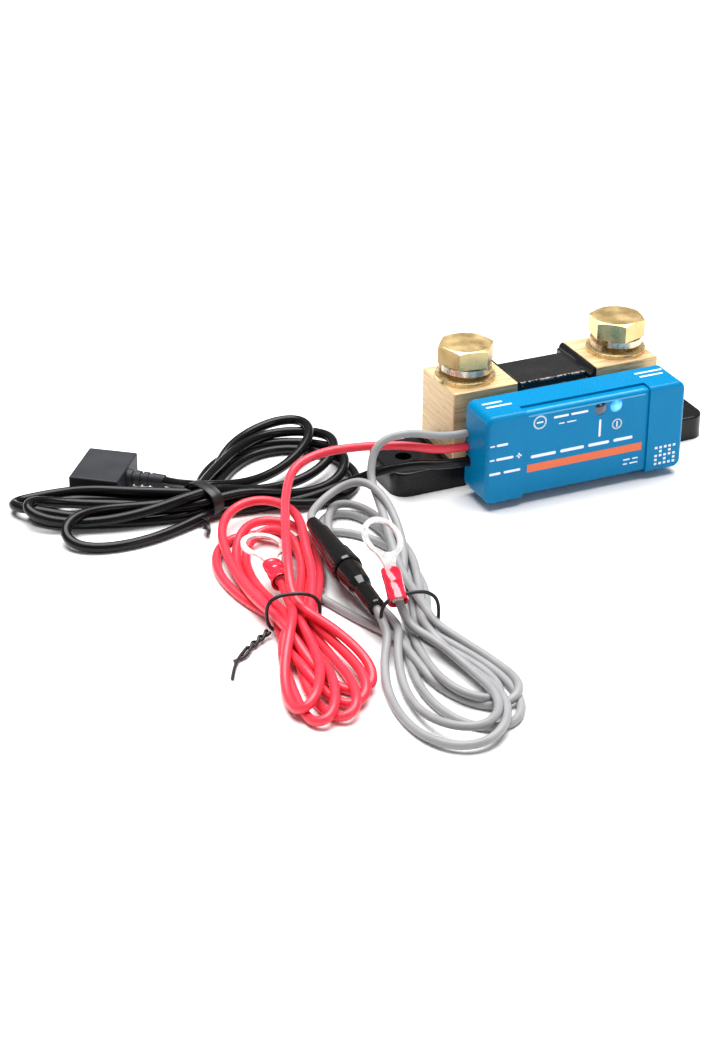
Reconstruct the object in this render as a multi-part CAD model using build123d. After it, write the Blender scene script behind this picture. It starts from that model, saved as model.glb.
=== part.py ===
from build123d import *
import os
from math import cos, pi, radians, sin, tan

# Battery monitor shunt: a current shunt of two brass blocks joined by resistor
# plates on a moulded base, with a sensing unit in a blue cover on its front, and
# three cords that leave the cover's left side. Millimetres. +X runs along the
# base, the cover faces -Y, +Z is up, and the base stands on z = 0.

os.makedirs("parts", exist_ok=True)

# ---- driving dimensions ----

TOTAL_DEPTH = 46.5
FRONT_Y = -TOTAL_DEPTH / 2
BACK_Y = TOTAL_DEPTH / 2
SCREW_PLAY = 0.05

BASE_LENGTH = 120.0
BASE_DEPTH = 25.8
BASE_HEIGHT = 8.6
BASE_CORNER = 5.5
BASE_Y = BACK_Y - BASE_DEPTH / 2
FOOT_HOLE_X = 51.4
FOOT_HOLE_RADIUS = 2.8
BASE_WALL = 2.4
BASE_POCKET_DEPTH = 5.6
BASE_RIDGE_WIDTH = 1.5
BASE_RIDGE_HEIGHT = 1.0

BLOCK_X = 26.9
BLOCK_LENGTH = 24.0
BLOCK_DEPTH = 23.8
BLOCK_HEIGHT = 25.6
BLOCK_TOP = BASE_HEIGHT + BLOCK_HEIGHT
BLOCK_FRONT_Y = BASE_Y - BLOCK_DEPTH / 2
BLOCK_INNER_X = BLOCK_X - BLOCK_LENGTH / 2
BLOCK_SCREWS = [(-5.4, 7.0), (8.6, -7.0)]
BLOCK_SCREW_RADIUS = 2.0
BLOCK_SCREW_LENGTH = 12.0
BLOCK_SCREW_HEAD = (3.5, 2.6)
BLOCK_SCREW_RECESS = (4.0, 3.4)

PLATE_DEPTH = 17.0
PLATE_THICKNESS = 2.5
PLATE_BITE = 4.0
PLATE_TOPS = {"upper": 32.0, "middle": 24.5, "lower": 17.0}

BOLT_X = 28.9
BOLT_RADIUS = 5.0
BOLT_HOLE_DEPTH = 22.0
BOLT_LENGTH = 25.0
BOLT_HEAD_FLATS = 17.0
BOLT_HEAD_HEIGHT = 6.4
BOLT_HEAD_CROWN = 0.9
HEAD_TOP = 46.4
FLAT_WASHER = (10.25, 5.25, 1.6)
SPRING_WASHER_OUTER = 8.9
SPRING_WASHER_INNER = 5.3
SPRING_WASHER_WIRE = 2.2
SPRING_WASHER_GAP_DEGREES = 14.0
SIDES = {"load": -1, "battery": 1}
BOLT_TURNS = {"load": -8.4, "battery": 19.0}
SPRING_WASHER_GAP_AT = {"load": 173.0, "battery": -145.0}

COVER_LENGTH = 74.6
COVER_DEPTH = 15.5
COVER_BOTTOM = 2.4
COVER_TOP = 34.2
COVER_BACK_Y = FRONT_Y + COVER_DEPTH
COVER_WALL = 2.0
COVER_CORNER = 3.0
COVER_EDGE = 1.6
PANEL_HALF = 23.5
PANEL_SINK = 0.8
PANEL_REACH = 4.9
PANEL_EDGE = 1.2
REAR_PLATE = 2.0
LATCH_X = (-15.0, 15.0)
LATCH_SIZE = (6.0, 0.9, 0.4)

BOARD_LENGTH = 68.0
BOARD_HEIGHT = 25.8
BOARD_THICKNESS = 1.6
BOARD_FRONT_Y = -12.6
BOARD_BACK_Y = BOARD_FRONT_Y + BOARD_THICKNESS
BOARD_MIDDLE_Z = (COVER_BOTTOM + COVER_TOP) / 2
SENSE_X = 24.0
SENSE_Z = 20.0
SENSE_SCREW_RADIUS = 1.5
SENSE_SCREW_DEPTH = 5.0
STANDOFF_RADIUS = 3.0
LED_Z = 29.8
LED_X = {"error_led": 5.0, "status_led": 11.0}
LED_RADIUS = 2.3
LED_BACK_Y = -18.5
LED_DOME = 0.75

AUX_DIAMETER = 2.7
VOLTAGE_DIAMETER = 3.0
DATA_DIAMETER = 3.4
BUSH_RIM = 0.45
COVER_LEFT_X = -COVER_LENGTH / 2

# ---- cord routes, from the cover's left side to each hank ----

AUX_ROUTE = [
    (COVER_LEFT_X, -8.35, 22.8),
    (-46.0, -8.35, 22.8),
    (-57.0, -6.2, 26.2),
    (-68.6, -4.6, 24.2),
    (-73.0, -8.8, 14.6),
    (-73.8, -18.5, 9.8),
]
VOLTAGE_ROUTE = [
    (COVER_LEFT_X, -8.65, 18.0),
    (-46.0, -8.65, 18.0),
    (-58.5, -5.2, 21.2),
    (-71.0, 1.8, 20.0),
    (-82.5, 7.6, 17.6),
    (-93.2, 6.4, 15.2),
    (-101.0, -5.4, 13.6),
    (-108.4, -21.8, 13.4),
    (-115.4, -39.6, 13.4),
    (-120.7, -53.6, 12.6),
    (-124.0, -64.0, 9.6),
]
DATA_ROUTE = [
    (COVER_LEFT_X, -9.85, 13.2),
    (-45.5, -9.85, 13.2),
    (-56.0, -7.6, 14.9),
    (-66.5, -3.6, 12.6),
    (-75.5, 3.4, 6.4),
]

# ---- hanks: a round at each end and one at the tied waist ----

AUX_WAIST = (-95.0, -87.0, 8.0)
AUX_HEAD = [(-85.0, -26.0, 16.5)]
AUX_TAIL = [(-99.0, -131.0, 19.5)]
VOLTAGE_WAIST = (-126.0, -70.0, 7.5)
VOLTAGE_HEAD = [(-117.5, -17.0, 17.5)]
VOLTAGE_TAIL = [(-131.0, -115.0, 10.5)]
DATA_WAIST = (-122.0, 14.0, 7.5)
DATA_HEAD = [(-81.5, 45.5, 14.5), (-78.5, 8.0, 12.0), (-87.0, -1.5, 8.5)]
DATA_TAIL = [(-168.0, 42.0, 10.5), (-158.5, 11.5, 12.5)]
HANK_HEIGHT = {"aux": 7.0, "voltage": 7.0, "data": 8.0}
HANK_GAP = 0.3
TAIL_REACH = 18.0
WAIST_HEIGHT = 9.5
RAISED_END = 11.5
TIE_WIRE = 1.2
AUX_TIE_SET_BACK = 1.2
BAND_WIDTH = 4.0
BAND_THICKNESS = 0.9

# ---- fuse holder, on the aux cord ----

HOLDER_TOP = Vector(-99.4, -23.4, 9.6)
HOLDER_END = Vector(-103.6, -81.0, 9.6)
HOLDER_LENGTH = 57.7
CAP_TIP_RADIUS = 2.2
CAP_BODY_RADIUS = 3.7
CAP_LENGTH = 33.0
COLLAR_START = 23.0
COLLAR_RADIUS = 4.9
SPIGOT_START = 24.5
SPIGOT_RADIUS = 3.55
BODY_RADIUS = 4.2
BODY_STEP = 46.0
BODY_TAIL_RADIUS = 2.8
HOLDER_PLAY = 0.05
CORD_PLAY = 0.1
FUSE_RADIUS = 2.5
FUSE_LENGTH = 20.0
FUSE_START = 19.5
FUSE_CAP_RADIUS = 2.6
FUSE_CAP_LENGTH = 5.0
FUSE_CHAMBER = 2.7
SPRING_RADIUS = 1.9
SPRING_WIRE = 0.5
SPRING_LENGTH = 5.0
SPRING_TURNS = 4

# ---- ring terminals ----

RING_OUTER = 7.0
RING_HOLE = 5.3
RING_THICKNESS = 0.9
RING_REACH = 22.5
NECK_WIDTH = 3.8
NECK_BEND = 2.6
NECK_SPREAD = 5.6
SLEEVE_LENGTH = 11.6
SLEEVE_RADIUS = 3.1
BARREL_RADIUS = 1.8
AUX_TERMINAL = ((-98.35, -85.05, 12.35), (0.138, 0.823, 0.551), 20.0)
VOLTAGE_TERMINAL = ((-122.15, -51.7, 7.5), (0.13, 0.99, 0.06), 6.0)

# ---- data plug ----

PLUG_LENGTH = 17.0
PLUG_WIDTH = 22.8
PLUG_THICKNESS = 7.5
PLUG_CENTRE = (-145.3, 47.0)
PLUG_TURN = -37.0
RELIEF_LENGTH = 13.0
RELIEF_RADIUS = 2.9
RELIEF_TIP = 2.1
DATA_TAIL_END = [(-120.4, 25.2, 5.4), (-120.0, 19.0, 7.0)]

nodes = {}


def named(name, *solids):
    """Keep one node: a single solid, or a group of separate ones."""
    nodes[name] = solids[0] if len(solids) == 1 else Compound(list(solids))


def rod(start, direction, radius, length):
    """A cylinder that starts at a point and runs along a direction."""
    return Plane(start, z_dir=direction) * Cylinder(
        radius, length, align=(Align.CENTER, Align.CENTER, Align.MIN)
    )


def slab(low, high):
    """A box between its lowest and highest corners."""
    size = [b - a for a, b in zip(low, high)]
    return Pos(*low) * Box(*size, align=(Align.MIN, Align.MIN, Align.MIN))


def only(shape):
    """The largest solid of a result, as one plain solid."""
    return max(shape.solids(), key=lambda s: s.volume)


# ---- base ----


def block_screw_places():
    for side in (-1, 1):
        for along, across in BLOCK_SCREWS:
            yield side * (BLOCK_X + along), BASE_Y + across


def make_base():
    base = Pos(0, BASE_Y, BASE_HEIGHT / 2) * Box(BASE_LENGTH, BASE_DEPTH, BASE_HEIGHT)
    base = fillet(base.edges().filter_by(Axis.Z), BASE_CORNER)
    base = fillet(base.faces().sort_by(Axis.Z)[-1].edges(), 0.8)
    for side in (-1, 1):
        ridge_x = side * (BLOCK_X + BLOCK_LENGTH / 2 + BASE_RIDGE_WIDTH / 2)
        ridge = Pos(ridge_x, BASE_Y, BASE_HEIGHT + BASE_RIDGE_HEIGHT / 2) * Box(
            BASE_RIDGE_WIDTH, BLOCK_DEPTH, BASE_RIDGE_HEIGHT
        )
        hole = Pos(side * FOOT_HOLE_X, BASE_Y, BASE_HEIGHT / 2) * Cylinder(
            FOOT_HOLE_RADIUS, 2 * BASE_HEIGHT
        )
        base = base + ridge - hole
    pocket_width = (BASE_DEPTH - 3 * BASE_WALL) / 2
    for pocket_x in (-6.0, 6.0):
        for side in (-1, 1):
            pocket_y = BASE_Y + side * (pocket_width + BASE_WALL) / 2
            base -= Pos(pocket_x, pocket_y, BASE_POCKET_DEPTH / 2) * Box(
                9.4, pocket_width, BASE_POCKET_DEPTH
            )
    recess_radius, recess_depth = BLOCK_SCREW_RECESS
    for x, y in block_screw_places():
        base -= rod((x, y, 0), (0, 0, 1), recess_radius, recess_depth)
        base -= rod((x, y, 0), (0, 0, 1), BLOCK_SCREW_RADIUS + SCREW_PLAY, BASE_HEIGHT)
    return only(base)


def make_block_screw(x, y):
    head_radius, head_height = BLOCK_SCREW_HEAD
    head_top = BLOCK_SCREW_RECESS[1]
    head = rod((x, y, head_top - head_height), (0, 0, 1), head_radius, head_height)
    head = fillet(head.edges().sort_by(Axis.Z)[0], 0.8)
    shank = rod((x, y, head_top), (0, 0, 1), BLOCK_SCREW_RADIUS, BLOCK_SCREW_LENGTH)
    slot = Pos(x, y, head_top - head_height) * Box(5.0, 0.9, 1.8)
    return only(head + shank - slot - slot.rotate(Axis((x, y, 0), (0, 0, 1)), 90))


# ---- shunt ----


def make_plate(top):
    length = 2 * (BLOCK_INNER_X + PLATE_BITE)
    return Pos(0, BASE_Y, top - PLATE_THICKNESS / 2) * Box(
        length, PLATE_DEPTH, PLATE_THICKNESS
    )


def make_block(side):
    block = Pos(side * BLOCK_X, BASE_Y, BASE_HEIGHT + BLOCK_HEIGHT / 2) * Box(
        BLOCK_LENGTH, BLOCK_DEPTH, BLOCK_HEIGHT
    )
    block = chamfer(block.edges(), 0.35)
    block -= rod(
        (side * BOLT_X, BASE_Y, BLOCK_TOP - BOLT_HOLE_DEPTH),
        (0, 0, 1),
        BOLT_RADIUS + SCREW_PLAY,
        BOLT_HOLE_DEPTH + 1,
    )
    for top in PLATE_TOPS.values():
        block -= make_plate(top)
    screw_top = BLOCK_SCREW_RECESS[1] + BLOCK_SCREW_LENGTH
    for x, y in block_screw_places():
        if x * side > 0:
            block -= rod(
                (x, y, BASE_HEIGHT - 1),
                (0, 0, 1),
                BLOCK_SCREW_RADIUS + SCREW_PLAY,
                screw_top + 0.6 - BASE_HEIGHT + 1,
            )
    block -= rod(
        (side * SENSE_X, BLOCK_FRONT_Y - 1, SENSE_Z),
        (0, 1, 0),
        SENSE_SCREW_RADIUS + SCREW_PLAY,
        SENSE_SCREW_DEPTH + 1.5,
    )
    return only(block)


# ---- terminal bolts ----

HEAD_BOTTOM = HEAD_TOP - BOLT_HEAD_HEIGHT
WASHER_TOP = BLOCK_TOP + FLAT_WASHER[2]


def make_bolt(name):
    centre = Pos(SIDES[name] * BOLT_X, BASE_Y, 0) * Rot(0, 0, BOLT_TURNS[name])
    hexagon = RegularPolygon(BOLT_HEAD_FLATS / 2, 6, major_radius=False)
    head = extrude(Pos(0, 0, HEAD_BOTTOM) * hexagon, BOLT_HEAD_HEIGHT)
    corner = BOLT_HEAD_FLATS / 2 / cos(pi / 6)
    crown = Pos(0, 0, HEAD_TOP) * Cone(
        corner + 4.0 * BOLT_HEAD_CROWN,
        BOLT_HEAD_FLATS / 2 - 0.3,
        2 * BOLT_HEAD_CROWN,
        align=(Align.CENTER, Align.CENTER, Align.MAX),
    )
    skirt = Pos(0, 0, HEAD_BOTTOM - 1) * Cylinder(
        corner + 5,
        BOLT_HEAD_HEIGHT + 1 - 2 * BOLT_HEAD_CROWN,
        align=(Align.CENTER, Align.CENTER, Align.MIN),
    )
    head = head & (crown + skirt)
    shank = Pos(0, 0, HEAD_BOTTOM) * Cylinder(
        BOLT_RADIUS, BOLT_LENGTH, align=(Align.CENTER, Align.CENTER, Align.MAX)
    )
    shank = chamfer(shank.edges().sort_by(Axis.Z)[0], 0.8)
    return only(centre * (head + shank))


def make_flat_washer(name):
    outer, inner, thickness = FLAT_WASHER
    disc = Cylinder(outer, thickness, align=(Align.CENTER, Align.CENTER, Align.MIN))
    disc = chamfer(disc.edges().sort_by(Axis.Z)[-1], 0.3)
    disc -= Cylinder(inner, 3 * thickness)
    return only(Pos(SIDES[name] * BOLT_X, BASE_Y, BLOCK_TOP) * disc)


def make_spring_washer(name):
    """A split ring whose two ends stand one wire apart in height."""
    middle = (SPRING_WASHER_OUTER + SPRING_WASHER_INNER) / 2
    width = SPRING_WASHER_OUTER - SPRING_WASHER_INNER
    rise = HEAD_BOTTOM - WASHER_TOP - SPRING_WASHER_WIRE
    pitch = rise * 360 / (360 - SPRING_WASHER_GAP_DEGREES)
    path = Helix(pitch=pitch, height=rise, radius=middle, lefthand=True)
    section = Plane(path @ 0, x_dir=(1, 0, 0), z_dir=(0, -1, 0)) * Rectangle(
        width, SPRING_WASHER_WIRE
    )
    ring = sweep(section, path=path, is_frenet=True)
    turn = SPRING_WASHER_GAP_AT[name] - SPRING_WASHER_GAP_DEGREES / 2
    lift = WASHER_TOP + SPRING_WASHER_WIRE / 2
    return only(Pos(SIDES[name] * BOLT_X, BASE_Y, lift) * Rot(0, 0, turn) * ring)


# ---- sensing unit ----

BUSHES = {
    "aux": (AUX_ROUTE[0], AUX_DIAMETER),
    "voltage": (VOLTAGE_ROUTE[0], VOLTAGE_DIAMETER),
    "data": (DATA_ROUTE[0], DATA_DIAMETER),
}
CAVITY_LOW = (COVER_LEFT_X + COVER_WALL, FRONT_Y + COVER_WALL, COVER_BOTTOM + COVER_WALL)
CAVITY_HIGH = (-COVER_LEFT_X - COVER_WALL, COVER_BACK_Y + 1, COVER_TOP - COVER_WALL)


def make_bush(name):
    (x, y, z), diameter = BUSHES[name]
    return rod((x, y, z), (1, 0, 0), diameter / 2 + BUSH_RIM, COVER_WALL)


def make_front_cover():
    shell = slab((COVER_LEFT_X, FRONT_Y, COVER_BOTTOM), (-COVER_LEFT_X, COVER_BACK_Y, COVER_TOP))
    shell = fillet(shell.edges().filter_by(Axis.Y), COVER_CORNER)
    shell = fillet(shell.faces().sort_by(Axis.Y)[0].edges(), COVER_EDGE)
    panel = slab(
        (-COVER_LENGTH, FRONT_Y + PANEL_SINK, COVER_BOTTOM + PANEL_SINK),
        (COVER_LENGTH, COVER_BACK_Y, COVER_TOP - PANEL_SINK),
    )
    front_edges = panel.faces().sort_by(Axis.Y)[0].edges().filter_by(Axis.X)
    panel = fillet(front_edges, PANEL_EDGE)
    sink = slab((-PANEL_HALF, FRONT_Y - 1, 0), (PANEL_HALF, FRONT_Y + PANEL_REACH, COVER_TOP + 1))
    shell -= sink - panel
    cavity = slab(CAVITY_LOW, CAVITY_HIGH)
    shell -= fillet(cavity.edges().filter_by(Axis.Y), 1.0)
    for x in LED_X.values():
        shell -= rod((x, FRONT_Y - 1, LED_Z), (0, 1, 0), LED_RADIUS + SCREW_PLAY, COVER_WALL + 2)
    for (x, y, z), diameter in BUSHES.values():
        reach = diameter / 2 + BUSH_RIM
        shell -= rod((x - 1, y, z), (1, 0, 0), reach, COVER_WALL + 1.5)
        shell -= slab((x - 1, y, z - reach), (x + COVER_WALL + 0.5, COVER_BACK_Y + 1, z + reach))
    for x in LATCH_X:
        for top in (COVER_BOTTOM + COVER_WALL, COVER_TOP - COVER_WALL):
            shell -= Pos(x, COVER_BACK_Y - REAR_PLATE / 2, top) * latch_box(SCREW_PLAY)
    return only(shell)


def latch_box(play):
    length, depth, height = LATCH_SIZE
    return Box(length + 2 * play, depth + 2 * play, 2 * height + 2 * play)


def make_rear_cover():
    low = (CAVITY_LOW[0] + 1.7, COVER_BACK_Y - REAR_PLATE, CAVITY_LOW[2] + SCREW_PLAY)
    high = (CAVITY_HIGH[0] - SCREW_PLAY, COVER_BACK_Y, CAVITY_HIGH[2] - SCREW_PLAY)
    plate = slab(low, high)
    plate = fillet(plate.edges().filter_by(Axis.Y), 1.0)
    for x in LATCH_X:
        for edge in (low[2], high[2]):
            plate += Pos(x, COVER_BACK_Y - REAR_PLATE / 2, edge) * latch_box(-SCREW_PLAY)
    for side in (-1, 1):
        plate -= rod(
            (side * SENSE_X, COVER_BACK_Y - REAR_PLATE - 1, SENSE_Z),
            (0, 1, 0),
            STANDOFF_RADIUS + SCREW_PLAY,
            REAR_PLATE + 2,
        )
        for z in (COVER_BOTTOM + 5.5, COVER_TOP - 5.5):
            post = rod(
                (side * 31.0, BOARD_BACK_Y, z), (0, 1, 0), 1.5, COVER_BACK_Y - 1 - BOARD_BACK_Y
            )
            plate += post
    return only(plate)


def make_board():
    half = BOARD_LENGTH / 2
    board = slab(
        (-half, BOARD_FRONT_Y, BOARD_MIDDLE_Z - BOARD_HEIGHT / 2),
        (half, BOARD_BACK_Y, BOARD_MIDDLE_Z + BOARD_HEIGHT / 2),
    )
    board = fillet(board.edges().filter_by(Axis.Y), 1.2)
    for side in (-1, 1):
        board -= rod(
            (side * SENSE_X, BOARD_FRONT_Y - 1, SENSE_Z),
            (0, 1, 0),
            SENSE_SCREW_RADIUS + SCREW_PLAY,
            BOARD_THICKNESS + 2,
        )
    return only(board)


def make_standoff(side):
    start = (side * SENSE_X, BOARD_BACK_Y, SENSE_Z)
    length = BLOCK_FRONT_Y - BOARD_BACK_Y
    tube = rod(start, (0, 1, 0), STANDOFF_RADIUS, length)
    return only(tube - rod(start, (0, 1, 0), SENSE_SCREW_RADIUS + SCREW_PLAY, length))


def make_sense_screw(side):
    start = (side * SENSE_X, BOARD_FRONT_Y, SENSE_Z)
    reach = BLOCK_FRONT_Y + SENSE_SCREW_DEPTH - BOARD_FRONT_Y
    shank = rod(start, (0, 1, 0), SENSE_SCREW_RADIUS, reach)
    head = rod(start, (0, -1, 0), 2.75, 2.0)
    head = fillet(head.edges().sort_by(Axis.Y)[0], 0.8)
    slot = Pos(side * SENSE_X, BOARD_FRONT_Y - 2.0, SENSE_Z) * Box(3.6, 1.6, 0.7)
    cross = slot.rotate(Axis((side * SENSE_X, 0, SENSE_Z), (0, 1, 0)), 90)
    return only(head + shank - slot - cross)


def make_led(x):
    barrel_end = FRONT_Y + PANEL_SINK + 0.05
    length = LED_BACK_Y - barrel_end
    dome_radius = (LED_RADIUS**2 + LED_DOME**2) / (2 * LED_DOME)
    barrel = rod((x, LED_BACK_Y, LED_Z), (0, -1, 0), LED_RADIUS, length)
    dome = Pos(x, barrel_end - LED_DOME + dome_radius, LED_Z) * Sphere(dome_radius)
    reach = rod((x, barrel_end + 0.5, LED_Z), (0, -1, 0), LED_RADIUS, LED_DOME + 1)
    return only(barrel + (dome & reach))


def make_led_legs():
    legs = []
    for x in LED_X.values():
        for step in (-1.27, 1.27):
            legs.append(
                slab(
                    (x + step - 0.25, LED_BACK_Y, LED_Z - 0.25),
                    (x + step + 0.25, BOARD_FRONT_Y, LED_Z + 0.25),
                )
            )
    return legs


def on_board(x, z, width, height, rise):
    """A small component that stands on the board's front face."""
    return Pos(x, BOARD_FRONT_Y - rise / 2, z) * Box(width, rise, height)


def make_board_components():
    parts = [on_board(x, 9.0, 2.2, 1.4, 1.0) for x in (-8.0, -4.0, 0.0, 16.0)]
    parts += [on_board(x, 26.0, 1.4, 2.2, 1.0) for x in (-30.0, -26.5, 18.0)]
    parts.append(on_board(16.5, 20.0, 5.0, 5.0, 3.2))
    for x in (28.5, 32.0 - 10.5):
        can = rod((x, BOARD_FRONT_Y, 11.0), (0, -1, 0), 2.5, 5.6)
        parts.append(fillet(can.edges().sort_by(Axis.Y)[0], 0.4))
    return parts


def make_lead_tails():
    """Stripped cord ends, from each bush to the board's back face."""
    tails = []
    for (x, y, z), _ in BUSHES.values():
        start = Vector(x + COVER_WALL - 0.5, y, z)
        end = Vector(-BOARD_LENGTH / 2 + 1.1, BOARD_BACK_Y - 0.5, z)
        tail = rod(start, (end - start).normalized(), 0.75, (end - start).length)
        tail -= slab((x - 1, y - 9, z - 3), (x + COVER_WALL, y + 9, z + 3))
        tail -= slab((x - 1, BOARD_FRONT_Y - 1, z - 3), (0, BOARD_BACK_Y, z + 3))
        tails.append(only(tail))
    return tails


# ---- cords ----


def path_and_radii(route):
    """Straight runs joined by tangent arcs, each as large as its two runs allow."""
    points = [Vector(*p) for p in route]
    radii = []
    for before, here, after in zip(points, points[1:], points[2:]):
        turn = radians((here - before).get_angle(after - here))
        shorter = min((here - before).length, (after - here).length)
        radii.append(0.45 * shorter / tan(turn / 2))
    return FilletPolyline(*points, radius=radii), radii


def make_tube(name, route, diameter):
    path, radii = path_and_radii(route)
    start = Plane(path @ 0, z_dir=path % 0)
    tube = only(sweep(start * Circle(diameter / 2), path=path))
    ideal = pi * diameter**2 / 4 * path.length
    print(
        f"{name}: length {path.length:.1f}, volume ratio {tube.volume / ideal:.4f},",
        f"radii in diameters {[round(r / diameter, 1) for r in radii]}",
    )
    return tube


def outline(waist, rounds):
    """The convex outline round the tied waist and the rounds at one end."""
    circles = [Pos(x, y) * CenterArc((0, 0), r, 0, 360) for x, y, r in [waist] + rounds]
    return make_face(make_hull(ShapeList(e for c in circles for e in c.edges())))


def hank_body(waist, head, tail, height):
    lower = extrude(outline(waist, head) + outline(waist, tail), height)
    x, y, r = waist
    collar = Pos(x, y) * Cylinder(
        r, WAIST_HEIGHT, align=(Align.CENTER, Align.CENTER, Align.MIN)
    )
    return lower + collar


def grown_hank(waist, head, tail, height):
    """A hank's body, larger all round by the gap that another hank keeps to it."""
    wider = [[(x, y, r + HANK_GAP) for x, y, r in rounds] for rounds in ([waist], head, tail)]
    return hank_body(wider[0][0], wider[1], wider[2], height + HANK_GAP)


def first_piece(shape, start):
    """The piece of a cut tube that holds its starting point."""
    return min(shape.solids(), key=lambda s: s.distance_to(Vector(*start)))


def raised_end(x, y, r, keep_above_y):
    """The part of an end that lies over the data cord's hank."""
    dome = Pos(x, y) * Cylinder(r, RAISED_END, align=(Align.CENTER, Align.CENTER, Align.MIN))
    return dome & slab((x - 50, keep_above_y, 0), (x + 50, keep_above_y + 100, RAISED_END))


def tie_ring(waist, heading, half_width, height, width, thickness, set_back=0.0):
    """A band round the waist, whose opening faces along the hank."""
    heading = radians(heading)
    x = waist[0] - set_back * cos(heading)
    y = waist[1] - set_back * sin(heading)
    middle = height / 2
    along = (cos(heading), sin(heading), 0)
    across = (sin(heading), -cos(heading), 0)
    plane = Plane((x, y, middle), x_dir=across, z_dir=along)
    outer = Ellipse(half_width, middle)
    inner = Ellipse(half_width - thickness, middle - thickness)
    return extrude(plane * (outer - inner), width / 2, both=True)


# ---- fuse holder ----

HOLDER_AXIS = (HOLDER_END - HOLDER_TOP).normalized()


def turned(stations):
    """A solid turned about the holder's axis from (distance, radius) stations."""
    points = [(0, stations[0][0])]
    points += [(radius, along) for along, radius in stations]
    points.append((0, stations[-1][0]))
    profile = make_face(Polyline(*points, close=True))
    solid = revolve(Plane.XZ * profile, Axis.Z)
    return Plane(HOLDER_TOP, z_dir=HOLDER_AXIS) * solid


def cord_hole(start, end, diameter):
    return turned([(start, diameter / 2), (end, diameter / 2)])


HOLE = AUX_DIAMETER + 2 * CORD_PLAY
CHAMBER_START = FUSE_START - SPRING_LENGTH - 3.0
CHAMBER_END = FUSE_START + FUSE_LENGTH + 2.5


def make_holder_cap():
    shape = turned(
        [
            (0, CAP_TIP_RADIUS),
            (7.0, 2.7),
            (7.6, 3.2),
            (COLLAR_START, CAP_BODY_RADIUS + 0.2),
            (COLLAR_START + 0.6, COLLAR_RADIUS - 0.5),
            (CAP_LENGTH - 1.2, COLLAR_RADIUS),
            (CAP_LENGTH, COLLAR_RADIUS - 0.2),
        ]
    )
    shape -= cord_hole(-1, CHAMBER_START, HOLE)
    shape -= turned([(CHAMBER_START, FUSE_CHAMBER), (CAP_LENGTH + 1, FUSE_CHAMBER)])
    socket = SPIGOT_RADIUS + HOLDER_PLAY
    shape -= turned([(SPIGOT_START - HOLDER_PLAY, socket), (CAP_LENGTH + 1, socket)])
    return only(shape)


def make_holder_body():
    shape = turned(
        [
            (SPIGOT_START, SPIGOT_RADIUS),
            (CAP_LENGTH + HOLDER_PLAY, SPIGOT_RADIUS),
            (CAP_LENGTH + HOLDER_PLAY, BODY_RADIUS),
            (BODY_STEP - 3.0, BODY_RADIUS - 0.5),
            (BODY_STEP, BODY_TAIL_RADIUS + 0.1),
            (HOLDER_LENGTH - 0.5, BODY_TAIL_RADIUS),
            (HOLDER_LENGTH, BODY_TAIL_RADIUS - 0.3),
        ]
    )
    shape -= turned([(SPIGOT_START - 1, FUSE_CHAMBER), (CHAMBER_END, FUSE_CHAMBER)])
    shape -= cord_hole(CHAMBER_END, HOLDER_LENGTH + 1, HOLE)
    return only(shape)


def make_glass_fuse():
    wall = 0.5
    tube = turned([(FUSE_START, FUSE_RADIUS), (FUSE_START + FUSE_LENGTH, FUSE_RADIUS)])
    bore = turned(
        [(FUSE_START - 1, FUSE_RADIUS - wall), (FUSE_START + FUSE_LENGTH + 1, FUSE_RADIUS - wall)]
    )
    return only(tube - bore)


def make_fuse_caps():
    first = turned([(FUSE_START - 0.3, FUSE_CAP_RADIUS), (FUSE_START + FUSE_CAP_LENGTH, FUSE_CAP_RADIUS)])
    end = FUSE_START + FUSE_LENGTH
    last = turned([(end - FUSE_CAP_LENGTH, FUSE_CAP_RADIUS), (end + 0.3, FUSE_CAP_RADIUS)])
    core = cord_hole(FUSE_START, end, 2 * FUSE_RADIUS)
    return [only(first - core), only(last - core)]


def make_contact(near, far, barrel_end):
    """A contact disc with a crimp barrel that takes the cord's conductor."""
    disc = turned([(near, FUSE_CAP_RADIUS - 0.1), (far, FUSE_CAP_RADIUS - 0.1)])
    stretch = sorted((far if barrel_end > far else near, barrel_end))
    barrel = turned([(stretch[0], 1.3), (stretch[1], 1.3)])
    return only(disc + barrel)


def make_fuse_spring():
    pitch = (SPRING_LENGTH - 0.3 - SPRING_WIRE) / SPRING_TURNS
    path = Helix(pitch=pitch, height=pitch * SPRING_TURNS, radius=SPRING_RADIUS)
    coil = sweep(Plane(path @ 0, z_dir=path % 0) * Circle(SPRING_WIRE / 2), path=path, is_frenet=True)
    start = HOLDER_TOP + HOLDER_AXIS * (FUSE_START - SPRING_LENGTH + SPRING_WIRE / 2)
    return only(Plane(start, z_dir=HOLDER_AXIS) * coil)


# ---- ring terminals ----


def terminal_plane(terminal):
    """Origin at the sleeve's cord end, x along the terminal, z out of its face."""
    origin, direction, roll = terminal
    along = Vector(*direction).normalized()
    across = Vector(0, 0, 1).cross(along).normalized()
    face = along.cross(across).rotate(Axis((0, 0, 0), along), roll)
    return Plane(origin, x_dir=along, z_dir=face)


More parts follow.
